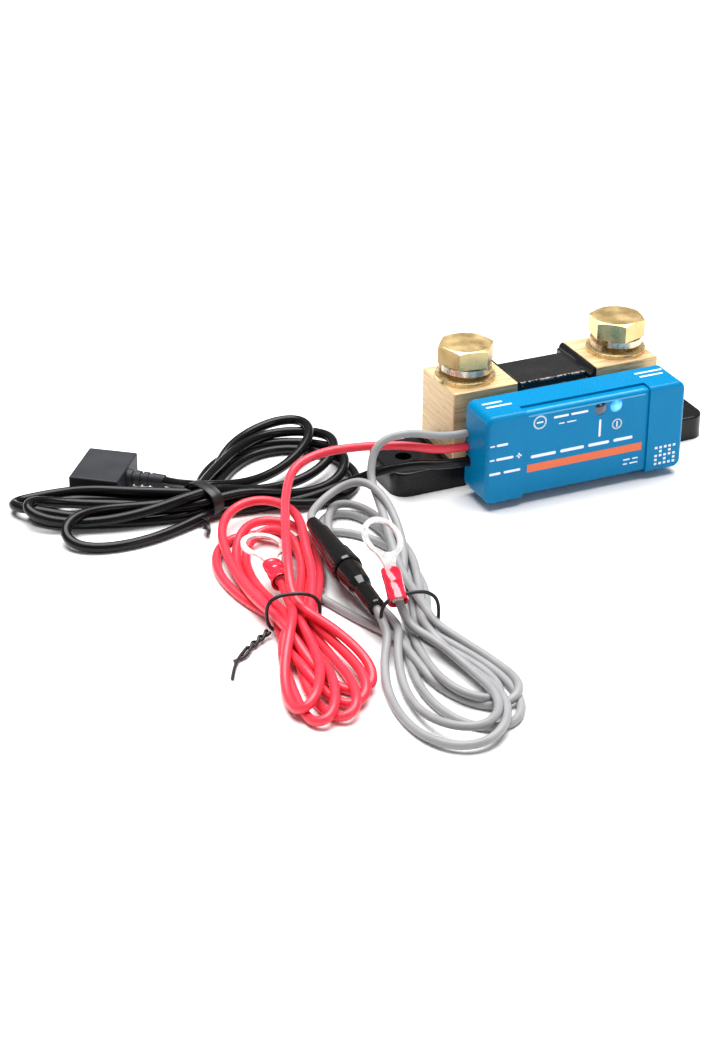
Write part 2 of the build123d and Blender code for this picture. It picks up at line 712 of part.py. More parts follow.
def make_ring_terminal(terminal):
    ring = Pos(RING_REACH, 0) * Circle(RING_OUTER)
    neck_start = SLEEVE_LENGTH - 0.8
    neck_end = RING_REACH - 0.6 * RING_OUTER
    sides = [
        ThreePointArc(
            (neck_start, y * NECK_WIDTH / 2),
            (SLEEVE_LENGTH + NECK_BEND, y * (NECK_WIDTH / 2 + 0.6)),
            (neck_end, y * NECK_SPREAD),
        )
        for y in (1, -1)
    ]
    ends = [Line(sides[0] @ share, sides[1] @ share) for share in (0, 1)]
    neck = make_face(sides + ends)
    tongue = extrude(ring + neck, RING_THICKNESS / 2, both=True)
    barrel = Rot(0, 90, 0) * Cylinder(
        BARREL_RADIUS, SLEEVE_LENGTH - 1.0, align=(Align.CENTER, Align.CENTER, Align.MIN)
    )
    body = tongue + Pos(0.8, 0, 0) * barrel
    body -= Pos(RING_REACH, 0, 0) * Cylinder(RING_HOLE, 4)
    return only(terminal_plane(terminal) * body)


def make_crimp_sleeve(terminal):
    """A flattened sleeve over the barrel, flared where the cord enters."""
    low = Plane.YZ * Circle(SLEEVE_RADIUS)
    waist = Plane.YZ.offset(SLEEVE_LENGTH * 0.45) * Ellipse(SLEEVE_RADIUS - 0.25, SLEEVE_RADIUS - 0.5)
    top = Plane.YZ.offset(SLEEVE_LENGTH) * Ellipse(SLEEVE_RADIUS, SLEEVE_RADIUS - 0.45)
    sleeve = loft([low, waist, top])
    barrel = Rot(0, 90, 0) * Cylinder(
        BARREL_RADIUS, SLEEVE_LENGTH - 1.0, align=(Align.CENTER, Align.CENTER, Align.MIN)
    )
    sleeve -= Pos(0.8, 0, 0) * barrel
    tongue_slot = Box(4.0, NECK_WIDTH, RING_THICKNESS)
    sleeve -= Pos(SLEEVE_LENGTH, 0, 0) * tongue_slot
    return only(terminal_plane(terminal) * sleeve)


def make_terminal_tail(terminal, diameter):
    """The cord from a terminal's sleeve straight back to the tied waist."""
    origin, direction, _ = terminal
    return rod(origin, -Vector(*direction).normalized(), diameter / 2, TAIL_REACH)


def terminal_room(terminal):
    """The space that a terminal and its sleeve need in the hank beneath them."""
    ring = Pos(RING_REACH, 0, 0) * Cylinder(RING_OUTER + HANK_GAP, RING_THICKNESS + 2 * HANK_GAP)
    sleeve = Rot(0, 90, 0) * Cylinder(
        SLEEVE_RADIUS + HANK_GAP, RING_REACH, align=(Align.CENTER, Align.CENTER, Align.MIN)
    )
    return terminal_plane(terminal) * (ring + sleeve)


# ---- data plug ----

PLUG_PLACE = Pos(*PLUG_CENTRE, 0) * Rot(0, 0, PLUG_TURN)


def make_plug_body():
    body = Box(PLUG_LENGTH, PLUG_WIDTH, PLUG_THICKNESS, align=(Align.CENTER, Align.CENTER, Align.MIN))
    body = fillet(body.edges(), 0.6)
    socket = Pos(-PLUG_LENGTH / 2, 0, PLUG_THICKNESS / 2) * Box(12.0, 10.0, 4.6)
    return only(PLUG_PLACE * (body - socket))


def make_plug_contacts():
    pins = []
    for step in range(4):
        y = (step - 1.5) * 2.0
        pin = Pos(-PLUG_LENGTH / 2 + 3.5, y, PLUG_THICKNESS / 2) * Box(5.0, 0.6, 0.6)
        pins.append(PLUG_PLACE * pin)
    return pins


def make_strain_relief():
    """A tapering sleeve with cut rings that let it bend."""
    start = PLUG_LENGTH / 2
    cone = Cone(
        RELIEF_RADIUS, RELIEF_TIP, RELIEF_LENGTH, align=(Align.CENTER, Align.CENTER, Align.MIN)
    )
    for along in (2.4, 5.2, 8.0):
        ring = Cylinder(RELIEF_RADIUS + 1, 1.1) - Cylinder(DATA_DIAMETER / 2 + 0.35, 1.1)
        cone -= Pos(0, 0, along) * ring
    return only(PLUG_PLACE * Pos(start, 0, PLUG_THICKNESS / 2) * Rot(0, 90, 0) * cone)


def relief_point(beyond):
    """A point on the plug's axis, past the tip of its strain relief."""
    turn = radians(PLUG_TURN)
    reach = PLUG_LENGTH / 2 + RELIEF_LENGTH + beyond
    x = PLUG_CENTRE[0] + reach * cos(turn)
    y = PLUG_CENTRE[1] + reach * sin(turn)
    return (x, y, PLUG_THICKNESS / 2)


# ---- assembly ----


def add_shunt():
    named("mounting_base", make_base())
    for name, side in SIDES.items():
        named(f"{name}_block", make_block(side))
    for name, top in PLATE_TOPS.items():
        named(f"{name}_resistor_plate", only(make_plate(top)))
    named("block_screws", *[make_block_screw(x, y) for x, y in block_screw_places()])
    for name in SIDES:
        named(f"{name}_bolt", make_bolt(name))
        named(f"{name}_flat_washer", make_flat_washer(name))
        named(f"{name}_spring_washer", make_spring_washer(name))


def add_sensing_unit():
    named("front_cover", make_front_cover())
    named("rear_cover", make_rear_cover())
    named("circuit_board", make_board())
    named("sense_standoffs", make_standoff(-1), make_standoff(1))
    named("sense_screws", make_sense_screw(-1), make_sense_screw(1))
    for name, x in LED_X.items():
        named(name, make_led(x))
    named("led_legs", *make_led_legs())
    named("radio_module", on_board(-12.0, 21.0, 17.0, 13.0, 2.6))
    named("processor_chip", on_board(7.0, 14.5, 9.0, 9.0, 1.2))
    named("board_components", *make_board_components())
    named("cord_bushes", *[make_bush(name) for name in BUSHES])
    named("lead_tails", *make_lead_tails())


def add_fuse_holder():
    named("fuse_holder_cap", make_holder_cap())
    named("fuse_holder_body", make_holder_body())
    named("fuse_glass", make_glass_fuse())
    named("fuse_end_caps", *make_fuse_caps())
    named("fuse_spring", make_fuse_spring())
    spring_start = FUSE_START - SPRING_LENGTH
    named("cap_contact", make_contact(spring_start - 1.2, spring_start, 4.0))
    fuse_end = FUSE_START + FUSE_LENGTH + 0.3
    named("body_contact", make_contact(fuse_end, fuse_end + 1.2, HOLDER_LENGTH - 4.0))


def add_cords():
    data = hank_body(DATA_WAIST, DATA_HEAD, DATA_TAIL, HANK_HEIGHT["data"])
    voltage = hank_body(VOLTAGE_WAIST, VOLTAGE_HEAD, VOLTAGE_TAIL, HANK_HEIGHT["voltage"])
    voltage += raised_end(*VOLTAGE_HEAD[0], -13.0)
    aux = hank_body(AUX_WAIST, AUX_HEAD, AUX_TAIL, HANK_HEIGHT["aux"])
    aux += raised_end(*AUX_HEAD[0], -20.0)

    grown_data = grown_hank(DATA_WAIST, DATA_HEAD, DATA_TAIL, HANK_HEIGHT["data"])
    grown_voltage = grown_hank(VOLTAGE_WAIST, VOLTAGE_HEAD, VOLTAGE_TAIL, RAISED_END)
    holder_room = turned([(-1, COLLAR_RADIUS + HANK_GAP), (HOLDER_LENGTH + 0.2, COLLAR_RADIUS + HANK_GAP)])
    plug_room = PLUG_PLACE * Box(
        PLUG_LENGTH + 2 * HANK_GAP, PLUG_WIDTH + 2 * HANK_GAP, 40
    )
    voltage = voltage - grown_data - holder_room - terminal_room(VOLTAGE_TERMINAL)
    aux = aux - grown_data - holder_room - grown_voltage
    data -= plug_room

    ties = {
        "data": tie_ring(DATA_WAIST, 18, 8.0, 10.5, BAND_WIDTH, BAND_THICKNESS),
        "voltage": tie_ring(VOLTAGE_WAIST, 75, 8.2, 13.6, TIE_WIRE, TIE_WIRE),
        "aux": tie_ring(AUX_WAIST, 85, 9.2, 16.0, TIE_WIRE, TIE_WIRE, AUX_TIE_SET_BACK),
    }
    hanks = {"data": data, "voltage": voltage, "aux": aux}
    routes = {
        "data": (DATA_ROUTE, DATA_DIAMETER),
        "voltage": (VOLTAGE_ROUTE, VOLTAGE_DIAMETER),
        "aux": (AUX_ROUTE, AUX_DIAMETER),
    }
    for name, (route, diameter) in routes.items():
        hank = only(hanks[name] - ties[name])
        tube = make_tube(name, route, diameter)
        named(f"{name}_lead", only(tube - hank))
        named(f"{name}_hank", hank)
        named(f"{name}_tie", only(ties[name]))

    for name, terminal, diameter in (
        ("aux", AUX_TERMINAL, AUX_DIAMETER),
        ("voltage", VOLTAGE_TERMINAL, VOLTAGE_DIAMETER),
    ):
        named(f"{name}_ring_terminal", make_ring_terminal(terminal))
        named(f"{name}_crimp_sleeve", make_crimp_sleeve(terminal))
        tail = make_terminal_tail(terminal, diameter)
        named(f"{name}_tail", first_piece(tail - nodes[f"{name}_hank"] - nodes[f"{name}_tie"], terminal[0]))

    named("plug_body", make_plug_body())
    named("plug_contacts", *make_plug_contacts())
    named("plug_strain_relief", make_strain_relief())
    tail = make_tube("data tail", [relief_point(0.0), relief_point(5.0), *DATA_TAIL_END], DATA_DIAMETER)
    cut = tail - nodes["data_hank"] - nodes["data_tie"]
    named("data_tail", first_piece(cut, relief_point(0.0)))


add_shunt()
add_sensing_unit()
add_fuse_holder()
add_cords()

for node_name, shape in nodes.items():
    export_step(shape, f"parts/{node_name}.step")
print(len(nodes), "nodes")
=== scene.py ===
"""The looks of a battery monitor shunt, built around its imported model.

Every length is in metres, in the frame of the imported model: +X along the base, +Z up.
"""

from math import cos, pi, radians, sin

import bmesh
import bpy
import numpy as np
from mathutils import Matrix, Vector, noise
from mathutils.kdtree import KDTree


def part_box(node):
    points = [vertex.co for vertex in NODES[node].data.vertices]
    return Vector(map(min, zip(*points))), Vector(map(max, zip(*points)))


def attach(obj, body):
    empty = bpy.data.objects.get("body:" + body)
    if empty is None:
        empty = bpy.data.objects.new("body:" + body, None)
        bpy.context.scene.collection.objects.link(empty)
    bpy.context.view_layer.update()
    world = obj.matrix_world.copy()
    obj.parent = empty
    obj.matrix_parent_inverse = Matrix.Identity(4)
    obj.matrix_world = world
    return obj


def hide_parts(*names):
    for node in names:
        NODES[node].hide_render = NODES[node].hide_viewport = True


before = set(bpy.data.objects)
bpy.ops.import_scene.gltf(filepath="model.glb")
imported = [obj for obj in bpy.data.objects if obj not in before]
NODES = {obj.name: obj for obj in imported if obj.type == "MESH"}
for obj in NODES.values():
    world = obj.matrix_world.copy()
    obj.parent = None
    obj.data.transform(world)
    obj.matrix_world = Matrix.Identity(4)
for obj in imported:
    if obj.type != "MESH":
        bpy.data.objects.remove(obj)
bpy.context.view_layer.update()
MM = 0.001


# ------------------------------------------------------------------ camera

CAMERA_PLACE = (-0.37842, -0.66304, 0.37864)
CAMERA_YAW = 24.67
CAMERA_PITCH = 28.01
CAMERA_ROLL = 0.47
CAMERA_LENS = 84.3
CAMERA_SHIFT = (-0.0022, 0.0007)


def make_camera():
    """The camera: yaw turns it from +Y towards +X, and pitch tips it down."""
    data = bpy.data.cameras.new("view_camera")
    data.lens = CAMERA_LENS
    data.sensor_width = 36.0
    data.sensor_fit = "AUTO"
    data.shift_x, data.shift_y = CAMERA_SHIFT
    data.clip_start = 0.05
    data.clip_end = 20.0
    camera = bpy.data.objects.new("view_camera", data)
    turn = Matrix.Rotation(radians(-CAMERA_YAW), 4, "Z") @ Matrix.Rotation(radians(90 - CAMERA_PITCH), 4, "X")
    roll = Matrix.Rotation(radians(CAMERA_ROLL), 4, "Z")
    camera.matrix_world = Matrix.Translation(CAMERA_PLACE) @ turn @ roll
    bpy.context.scene.collection.objects.link(camera)
    bpy.context.scene.camera = camera


make_camera()

# The cover's faces, in metres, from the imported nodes' own boxes.
COVER_LOW, COVER_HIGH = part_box("front_cover")
FRONT_Y = COVER_LOW.y
PANEL_Y = FRONT_Y + 0.8 * MM
COVER_TOP = COVER_HIGH.z
PLATE_LOW, PLATE_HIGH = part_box("upper_resistor_plate")
PLATE_FRONT = PLATE_LOW.y
PLATE_TOP = PLATE_HIGH.z
LAMP_LOW, LAMP_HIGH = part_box("status_led")
LAMP_CENTRE = (LAMP_LOW + LAMP_HIGH) / 2
LAMP_CENTRE.y = LAMP_LOW.y
LEDGE_HALF = 22.6 * MM
LEDGE_RADIUS = 1.7 * MM
LEDGE_Y = PANEL_Y + 1.62 * MM
LEDGE_Z = COVER_TOP - 0.8 * MM - 1.62 * MM
BLOCK_LOW, BLOCK_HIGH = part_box("battery_block")
WALL_X = BLOCK_LOW.x + 0.04 * MM
WALL_THICKNESS = 1.3 * MM
WALL_FRONT = BLOCK_LOW.y + 0.15 * MM
WALL_BACK = BLOCK_HIGH.y - 0.15 * MM
WALL_TOP = BLOCK_HIGH.z - 0.1 * MM
PRINT_THICKNESS = 0.03 * MM
TIE_WIRE = 1.15 * MM
STRIP_SECTION = [(-1, 0.5), (-0.3, 0.5), (-0.2, 1.1), (0, 1.3), (0.2, 1.1), (0.3, 0.5), (1, 0.5),
                 (1, -0.5), (0.3, -0.5), (0, -0.7), (-0.3, -0.5), (-1, -0.5)]
# Share of the sleeve's length, then half its width and half its thickness in millimetres.
SLEEVE_SECTIONS = [
    (0.0, 3.35, 3.35),
    (0.06, 3.3, 3.3),
    (0.16, 3.05, 3.05),
    (0.28, 2.95, 2.85),
    (0.40, 3.15, 2.45),
    (0.50, 3.2, 2.4),
    (0.58, 3.0, 2.65),
    (0.68, 3.25, 2.35),
    (0.80, 3.4, 2.15),
    (0.92, 3.35, 2.2),
    (0.98, 3.2, 2.1),
    (1.0, 3.0, 1.9),
]
SLEEVE_SIDES = 28
DENT_PLACE = 0.78
DENT_REACH = 0.14
DENT_DEPTH = 0.16


def sleeve_dent(share):
    """How deep the crimping jaws press at a share of the sleeve's length."""
    return max(0.0, 1 - abs(share - DENT_PLACE) / DENT_REACH)
# ------------------------------------------------------------------- cords

AUX_DIAMETER = 2.7 * MM
VOLTAGE_DIAMETER = 3.0 * MM
DATA_DIAMETER = 3.4 * MM

AUX_ROUTE = [
    (-0.0373, -0.00835, 0.0228),
    (-0.0460, -0.00835, 0.0228),
    (-0.0570, -0.0062, 0.0262),
    (-0.0686, -0.0046, 0.0242),
    (-0.0730, -0.0088, 0.0146),
    (-0.0738, -0.0185, 0.0098),
]
VOLTAGE_ROUTE = [
    (-0.0373, -0.00865, 0.0180),
    (-0.0460, -0.00865, 0.0180),
    (-0.0585, -0.0052, 0.0212),
    (-0.0710, 0.0018, 0.0200),
    (-0.0825, 0.0076, 0.0176),
    (-0.0932, 0.0064, 0.0152),
    (-0.1010, -0.0054, 0.0136),
    (-0.1084, -0.0218, 0.0134),
    (-0.1154, -0.0396, 0.0134),
    (-0.1207, -0.0536, 0.0126),
    (-0.1240, -0.0640, 0.0096),
]
DATA_ROUTE = [
    (-0.0373, -0.00985, 0.0132),
    (-0.0455, -0.00985, 0.0132),
    (-0.0560, -0.0076, 0.0149),
    (-0.0665, -0.0036, 0.0126),
    (-0.0755, 0.0034, 0.0064),
]

PLUG_CENTRE = Vector((-0.1453, 0.0470, 0.00375))
PLUG_TURN = radians(-37)
PLUG_ALONG = Vector((cos(PLUG_TURN), sin(PLUG_TURN), 0))
PLUG_ACROSS = Vector((-sin(PLUG_TURN), cos(PLUG_TURN), 0))
PLUG_SIZE = (0.017, 0.0228, 0.0075)
RELIEF_LENGTH = 0.013
RELIEF_START = PLUG_CENTRE + PLUG_ALONG * (PLUG_SIZE[0] / 2)
RELIEF_END = RELIEF_START + PLUG_ALONG * RELIEF_LENGTH

HOLDER_TOP = Vector((-0.0994, -0.0234, 0.0096))
HOLDER_END = Vector((-0.1036, -0.0810, 0.0096))
HOLDER_AXIS = (HOLDER_END - HOLDER_TOP).normalized()

AUX_SLEEVE_START = Vector((-0.09835, -0.08505, 0.01235))
AUX_RING_WAY = Vector((0.138, 0.823, 0.551)).normalized()
VOLTAGE_SLEEVE_START = Vector((-0.12215, -0.0517, 0.0075))
VOLTAGE_RING_WAY = Vector((0.13, 0.99, 0.06)).normalized()
SLEEVE_LENGTH = 0.0116
SLEEVE_RADIUS = 0.0031
STEP = 2.0 * MM
ROW_RISE = 0.87
TIE_UNDER = 1.2 * MM
EASE_ROUNDS = 16
SETTLE_ROUNDS = 420
FALL = 0.02 * MM
SMOOTHING = 0.3
STIFFNESS = 0.22


class Hank:
    """A tied hank: the place of its tie, the way its head points, and the size of its cord."""

    def __init__(self, waist, heading, diameter):
        self.waist = Vector((*waist, 0))
        self.along = Vector((cos(radians(heading)), sin(radians(heading)), 0))
        self.right = Vector((self.along.y, -self.along.x, 0))
        self.diameter = diameter

    def slot(self, across, row):
        """The centre of a strand in the tie: across in diameters to the right, row from the floor."""
        height = TIE_UNDER + self.diameter * (0.5 + ROW_RISE * row)
        return self.waist + self.right * (across * self.diameter) + Vector((0, 0, height))

    def strand(self, slot, way):
        """Three points that hold a strand in its slot; way is 1 towards the head, -1 to the tail."""
        return [self.slot(*slot) + self.along * (way * off * STEP) for off in (-1, 0, 1)]

    def loop(self, start, end, side, reach, width, lean, tilt=0, rise=0.0):
        """A drop-shaped loop from one slot to another, on the head side (1) or the tail side (-1).

        It bulges first towards the side of the slot that it starts from. lean turns it to the
        right of the hank's line, and tilt turns its plane up from the floor.
        """
        axis = Matrix.Rotation(radians(-lean), 3, "Z") @ (self.along * side)
        hand = 1 if start[0] > end[0] else -1
        level = Matrix.Rotation(radians(-lean), 3, "Z") @ self.right * hand
        across = level * cos(radians(tilt)) + Vector((0, 0, sin(radians(tilt))))
        points = []
        for k in range(1, 48):
            turn = 2 * pi * k / 48
            base = self.slot(*start).lerp(self.slot(*end), k / 48)
            out = reach * MM * (1 - cos(turn)) / 2
            swing = width * MM * 0.65 * sin(turn) * sin(turn / 2)
            lift = Vector((0, 0, rise * MM * sin(turn / 2) ** 2))
            points.append(base + axis * out + across * swing + lift)
        return points


def evenly(points, step):
    """The same line with points a step apart."""
    line = np.array(points, float)
    runs = np.linalg.norm(np.diff(line, axis=0), axis=1)
    way = np.concatenate([[0], np.cumsum(runs)])
    count = max(2, round(way[-1] / step) + 1)
    marks = np.linspace(0, way[-1], count)
    return np.stack([np.interp(marks, way, line[:, k]) for k in range(3)], axis=1)


def spline_line(points):
    """The line that a NURBS spline with these control points follows."""
    curve = new_spline("probe", points, 0)
    mesh = bpy.data.meshes.new_from_object(curve)
    line = np.array([v.co for v in mesh.vertices], float)
    bpy.data.objects.remove(curve)
    return line


def new_spline(name, points, diameter):
    """A round cord along a NURBS spline with these control points."""
    data = bpy.data.curves.new(name, "CURVE")
    data.dimensions = "3D"
    data.resolution_u = 4
    data.bevel_depth = diameter / 2
    data.bevel_resolution = 5
    data.use_fill_caps = True
    spline = data.splines.new("NURBS")
    spline.points.add(len(points) - 1)
    for point, place in zip(spline.points, points):
        point.co = (*place, 1)
    spline.order_u = 3
    spline.use_endpoint_u = True
    cord = bpy.data.objects.new(name, data)
    bpy.context.scene.collection.objects.link(cord)
    return cord


class Cord:
    """One cord's line in parts: the listed route, the strands held in the tie, and free loops."""

    def __init__(self, name, diameter, route):
        self.name = name
        self.diameter = diameter
        self.route = [Vector(p) for p in route]
        self.parts = [(evenly(spline_line(self.route), STEP), True)]

    def add(self, points, held=False):
        """More of the line. A held part stays where it is while the loops settle."""
        self.parts.append((np.array(points, float), held))

    def wind(self, hank, slots, loops, side):
        """Loops between the slots, turn about on each side of the tie, starting on this side."""
        self.add(hank.strand(slots[0], side), held=True)
        for start, end, shape in zip(slots, slots[1:], loops):
            self.add(hank.loop(start, end, side, *shape))
            side = -side
            self.add(hank.strand(end, side), held=True)

    def lay_out(self):
        """Points a step apart along the whole line, and which of them are held."""
        points, held = [], []
        for k, (part, fixed) in enumerate(self.parts):
            if not fixed:
                ends = [points[-1]] if points else []
                after = [self.parts[k + 1][0][0]] if k + 1 < len(self.parts) else []
                part = evenly([*ends, *part, *after], STEP)
                part = part[len(ends):len(part) - len(after)]
            points.extend(part)
            held.extend([fixed] * len(part))
        self.route_count = len(self.parts[0][0])
        return np.array(points), np.array(held)

    def controls(self):
        """The control points of the cord's spline: the route's own, then the settled loops' eased points."""
        line = self.points[self.route_count - 1:].copy()
        for _ in range(EASE_ROUNDS):
            line[1:-1] += ((line[:-2] + line[2:]) / 2 - line[1:-1]) * 0.5
        return self.route + [Vector(p) for p in evenly(line, 2 * STEP)[2:]]


def close_pairs(points, owner, gap, within):
    """Pairs of points that lie near each other and aren't neighbours along one cord."""
    tree = KDTree(len(points))
    for k, place in enumerate(points):
        tree.insert(place, k)
    tree.balance()
    found = []
    for k, place in enumerate(points):
        for _, other, _ in tree.find_range(place, within):
            if other > k and (owner[k] != owner[other] or other - k > gap):
                found.append((k, other))
    return np.array(found, int).reshape(-1, 2)


def push_from_posts(points, radii, posts):
    """Points moved out of round posts, each given as two ends and a radius."""
    for start, end, thick in posts:
        start, end = np.array(start), np.array(end)
        axis = end - start
        along = np.clip((points - start) @ axis / (axis @ axis), 0, 1)
        away = points - (start + along[:, None] * axis)
        far = np.linalg.norm(away, axis=1)
        want = thick + radii
        near = far < want
        points[near] += away[near] * ((want - far) / np.maximum(far, 1e-6))[near, None]


def push_from_block(points, radii, centre, axes, size):
    """Points moved out of a block, each through the face that is nearest."""
    local = (points - np.array(centre)) @ np.array(axes).T
    room = np.array(size) / 2 + radii[:, None] - np.abs(local)
    inside = (room > 0).all(axis=1)
    for k in np.nonzero(inside)[0]:
        face = int(np.argmin(room[k]))
        points[k] += np.array(axes[face]) * np.sign(local[k, face]) * room[k, face]


def bend_links(points, owner, reach):
    """Pairs of points this many steps apart on one cord, and how far apart they lie at first."""
    first = np.nonzero(owner[reach:] == owner[:-reach])[0]
    second = first + reach
    return first, second, np.linalg.norm(points[second] - points[first], axis=1)


def settle(cords, posts, blocks):
    """Lets the loops of all the cords come to rest on the floor and on each other."""
    laid = [cord.lay_out() for cord in cords]
    points = np.concatenate([p for p, _ in laid])
    free = ~np.concatenate([h for _, h in laid])
    counts = [len(p) for p, _ in laid]
    owner = np.repeat(np.arange(len(cords)), counts)
    radii = np.repeat([c.diameter / 2 for c in cords], counts)
    joined = np.nonzero(owner[1:] == owner[:-1])[0]
    spans = np.linalg.norm(points[joined + 1] - points[joined], axis=1)
    middles = joined[1:][np.diff(joined) == 1]
    bends = [bend_links(points, owner, reach) for reach in (2, 4, 8, 14)]
    gap = int(3 * DATA_DIAMETER / STEP)
    for turn in range(SETTLE_ROUNDS):
        active = turn < SETTLE_ROUNDS - 60
        if turn % 8 == 0:
            pairs = close_pairs(points, owner, gap, DATA_DIAMETER * 1.6)
        if active:
            points[free, 2] -= FALL
        half = (points[middles - 1] + points[middles + 1]) / 2 - points[middles]
        points[middles] += half * (SMOOTHING * free[middles, None])
        for first, second, rest in bends:
            chord = points[second] - points[first]
            size = np.maximum(np.linalg.norm(chord, axis=1), 1e-7)
            fix = chord * (STIFFNESS * (size - rest) / size)[:, None]
            points[first] += fix * free[first, None]
            points[second] -= fix * free[second, None]
        one, two = pairs[:, 0], pairs[:, 1]
        apart = points[two] - points[one]
        far = np.maximum(np.linalg.norm(apart, axis=1), 1e-7)
        short = radii[one] + radii[two] - far
        hit = short > 0
        one, two = one[hit], two[hit]
        push = apart[hit] / far[hit, None] * short[hit, None]
        share = free[one] / np.maximum(free[one].astype(int) + free[two], 1)
        other = free[two] / np.maximum(free[one].astype(int) + free[two], 1)
        move = np.zeros_like(points)
        times = np.zeros(len(points))
        np.add.at(move, one, -push * share[:, None])
        np.add.at(move, two, push * other[:, None])
        np.add.at(times, one, 1)
        np.add.at(times, two, 1)
        points += move / np.maximum(times, 1)[:, None] * 1.3
        keep = points[~free].copy()
        push_from_posts(points, radii, posts)
        for block in blocks:
            push_from_block(points, radii, *block)
        points[~free] = keep
        for parity in (0, 1):
            a = joined[parity::2]
            b = a + 1
            run = points[b] - points[a]
            size = np.maximum(np.linalg.norm(run, axis=1), 1e-7)
            fix = run * ((size - spans[parity::2]) / size)[:, None]
            both = np.maximum(free[a].astype(int) + free[b], 1)
            points[a] += fix * (free[a] / both)[:, None]
            points[b] -= fix * (free[b] / both)[:, None]
        points[free, 2] = np.maximum(points[free, 2], radii[free])
    for k, cord in enumerate(cords):
        cord.points = points[owner == k]


def wind_cords():
    """The four free cords, with their loops laid out but not yet settled."""
    voltage = Cord("voltage_cord", VOLTAGE_DIAMETER, VOLTAGE_ROUTE)
    hank = VOLTAGE_HANK
    slots = [
        (1.0, 2), (-1.5, 1), (1.5, 1), (-1.5, 0), (1.5, 0),
        (-0.5, 0), (0.5, 0), (-0.5, 1), (0.5, 1), (0.0, 2),
    ]
    loops = [
        (45, 11, -20, 45, 4),
        (77, 25, 0, 0, 9),
        (50, 11, -14, 45, 4),
        (70, 21, 1, 0, 5),
        (56, 11, -8, 45, 4),
        (64, 26, -7, 0, 1),
        (58, 11, -1, 45, 4),
        (61, 17, -1, 0, 3),
        (53, 11, 5, 45, 6),
    ]
    voltage.wind(hank, slots, loops, -1)
    voltage.add([VOLTAGE_SLEEVE_START - VOLTAGE_RING_WAY * (off * MM) for off in (10, 6)])
    voltage.add([VOLTAGE_SLEEVE_START - VOLTAGE_RING_WAY * (off * MM) for off in (2, 0, -4)], held=True)

    data = Cord("data_cord", DATA_DIAMETER, DATA_ROUTE)
    hank = DATA_HANK
    data.add([(-0.0850, 0.0075, 0.0040), (-0.1020, 0.0090, 0.0030)])
    slots = [(1.5, 0), (0.0, 1), (0.5, 0), (-1.5, 0), (1.0, 1), (-1.0, 1), (0.5, 2), (-0.5, 0), (-0.5, 2)]
    loops = [
        (52, 18, 15, 0, 5),
        (58, 44, 2, 0, 1),
        (58, 16, 38, 0, 0),
        (61, 38, -5, 0, 2),
        (66, 15, 42, 0, 1),
        (63, 31, -11, 0, 5),
        (62, 14, 35, 0, 2),
        (65, 24, -18, 0, 9),
    ]
    data.wind(hank, slots, loops, -1)
    data.add([RELIEF_END + PLUG_ALONG * (5 * MM)])
    data.add([RELIEF_END + PLUG_ALONG * (off * MM) for off in (1, -1)], held=True)

    lead = Cord("aux_cord", AUX_DIAMETER, AUX_ROUTE)
    hank = AUX_HANK
    lead.add([(-0.0745, -0.0249, 0.0095), (-0.0782, -0.0352, 0.0090), (-0.0815, -0.0439, 0.0085)])
    slots = [(2.5, 1), (-2.0, 0), (2.0, 0), (-1.0, 0), (1.0, 0), (0.0, 0)]
    loops = [
        (50, 16, -15, 0, 2),
        (73, 32, -5, 0, 1),
        (58, 22, -6, 0, 1),
        (84, 20, 4, 0, 4),
        (46, 16, -9, 0, 5),
    ]
    lead.wind(hank, slots, loops, -1)
    lead.add([
        (-0.0850, -0.0682, 0.0050),
        (-0.0766, -0.0462, 0.0080),
        (-0.0730, -0.0282, 0.0110),
        (-0.0722, -0.0145, 0.0130),
        (-0.0758, -0.0058, 0.0145),
        (-0.0835, -0.0040, 0.0150),
        (-0.0910, -0.0070, 0.0145),
        (-0.0965, -0.0130, 0.0130),
    ])
    lead.add([HOLDER_TOP - HOLDER_AXIS * (off * MM) for off in (2, 0, -3)], held=True)

    link = Cord("link_cord", AUX_DIAMETER, [HOLDER_END + HOLDER_AXIS * (off * MM) for off in (-3, 1)])
    slots = [(-2.5, 1), (1.5, 1), (-1.5, 1), (-0.5, 1)]
    loops = [
        (66, 26, 3, 0, 5),
        (88, 19, 5, 0, 5),
        (61, 22, -1, 0, 8),
    ]
    link.wind(hank, slots, loops, -1)
    link.add([AUX_SLEEVE_START - AUX_RING_WAY * (off * MM) for off in (2, 0, -4)], held=True)
    return [voltage, data, lead, link]


def terminal_posts(start, way):
    """The round posts that a terminal's sleeve and tongue take up."""
    return [
        (start + way * 0.004, start + way * SLEEVE_LENGTH, SLEEVE_RADIUS),
        (start + way * 0.015, start + way * 0.0289, 0.0010),
    ]


VOLTAGE_HANK = Hank((-0.1260, -0.0700), 75, VOLTAGE_DIAMETER)
DATA_HANK = Hank((-0.1220, 0.0140), 18, DATA_DIAMETER)
AUX_HANK = Hank((-0.0950, -0.0870), 85, AUX_DIAMETER)
cords = wind_cords()
holder_waist = HOLDER_TOP + HOLDER_AXIS * 0.046
posts = [
    (HOLDER_TOP + HOLDER_AXIS * 0.008, holder_waist, 0.0048),
    (holder_waist, HOLDER_END - HOLDER_AXIS * 0.004, 0.0029),
]
posts += terminal_posts(VOLTAGE_SLEEVE_START, VOLTAGE_RING_WAY)
posts += terminal_posts(AUX_SLEEVE_START, AUX_RING_WAY)
posts.append((RELIEF_START, RELIEF_END - PLUG_ALONG * 0.005, 0.0028))
upright = Vector((0, 0, 1))
base_centre = Vector((0, 0.01035, 0.0043))
base_size = (0.120, 0.0258, 0.0086)
blocks = [
    (PLUG_CENTRE, (PLUG_ALONG, PLUG_ACROSS, upright), PLUG_SIZE),
    (base_centre, (Vector((1, 0, 0)), Vector((0, 1, 0)), upright), base_size),
]
settle(cords, posts, blocks)


# --------------------------------------------------------------- materials


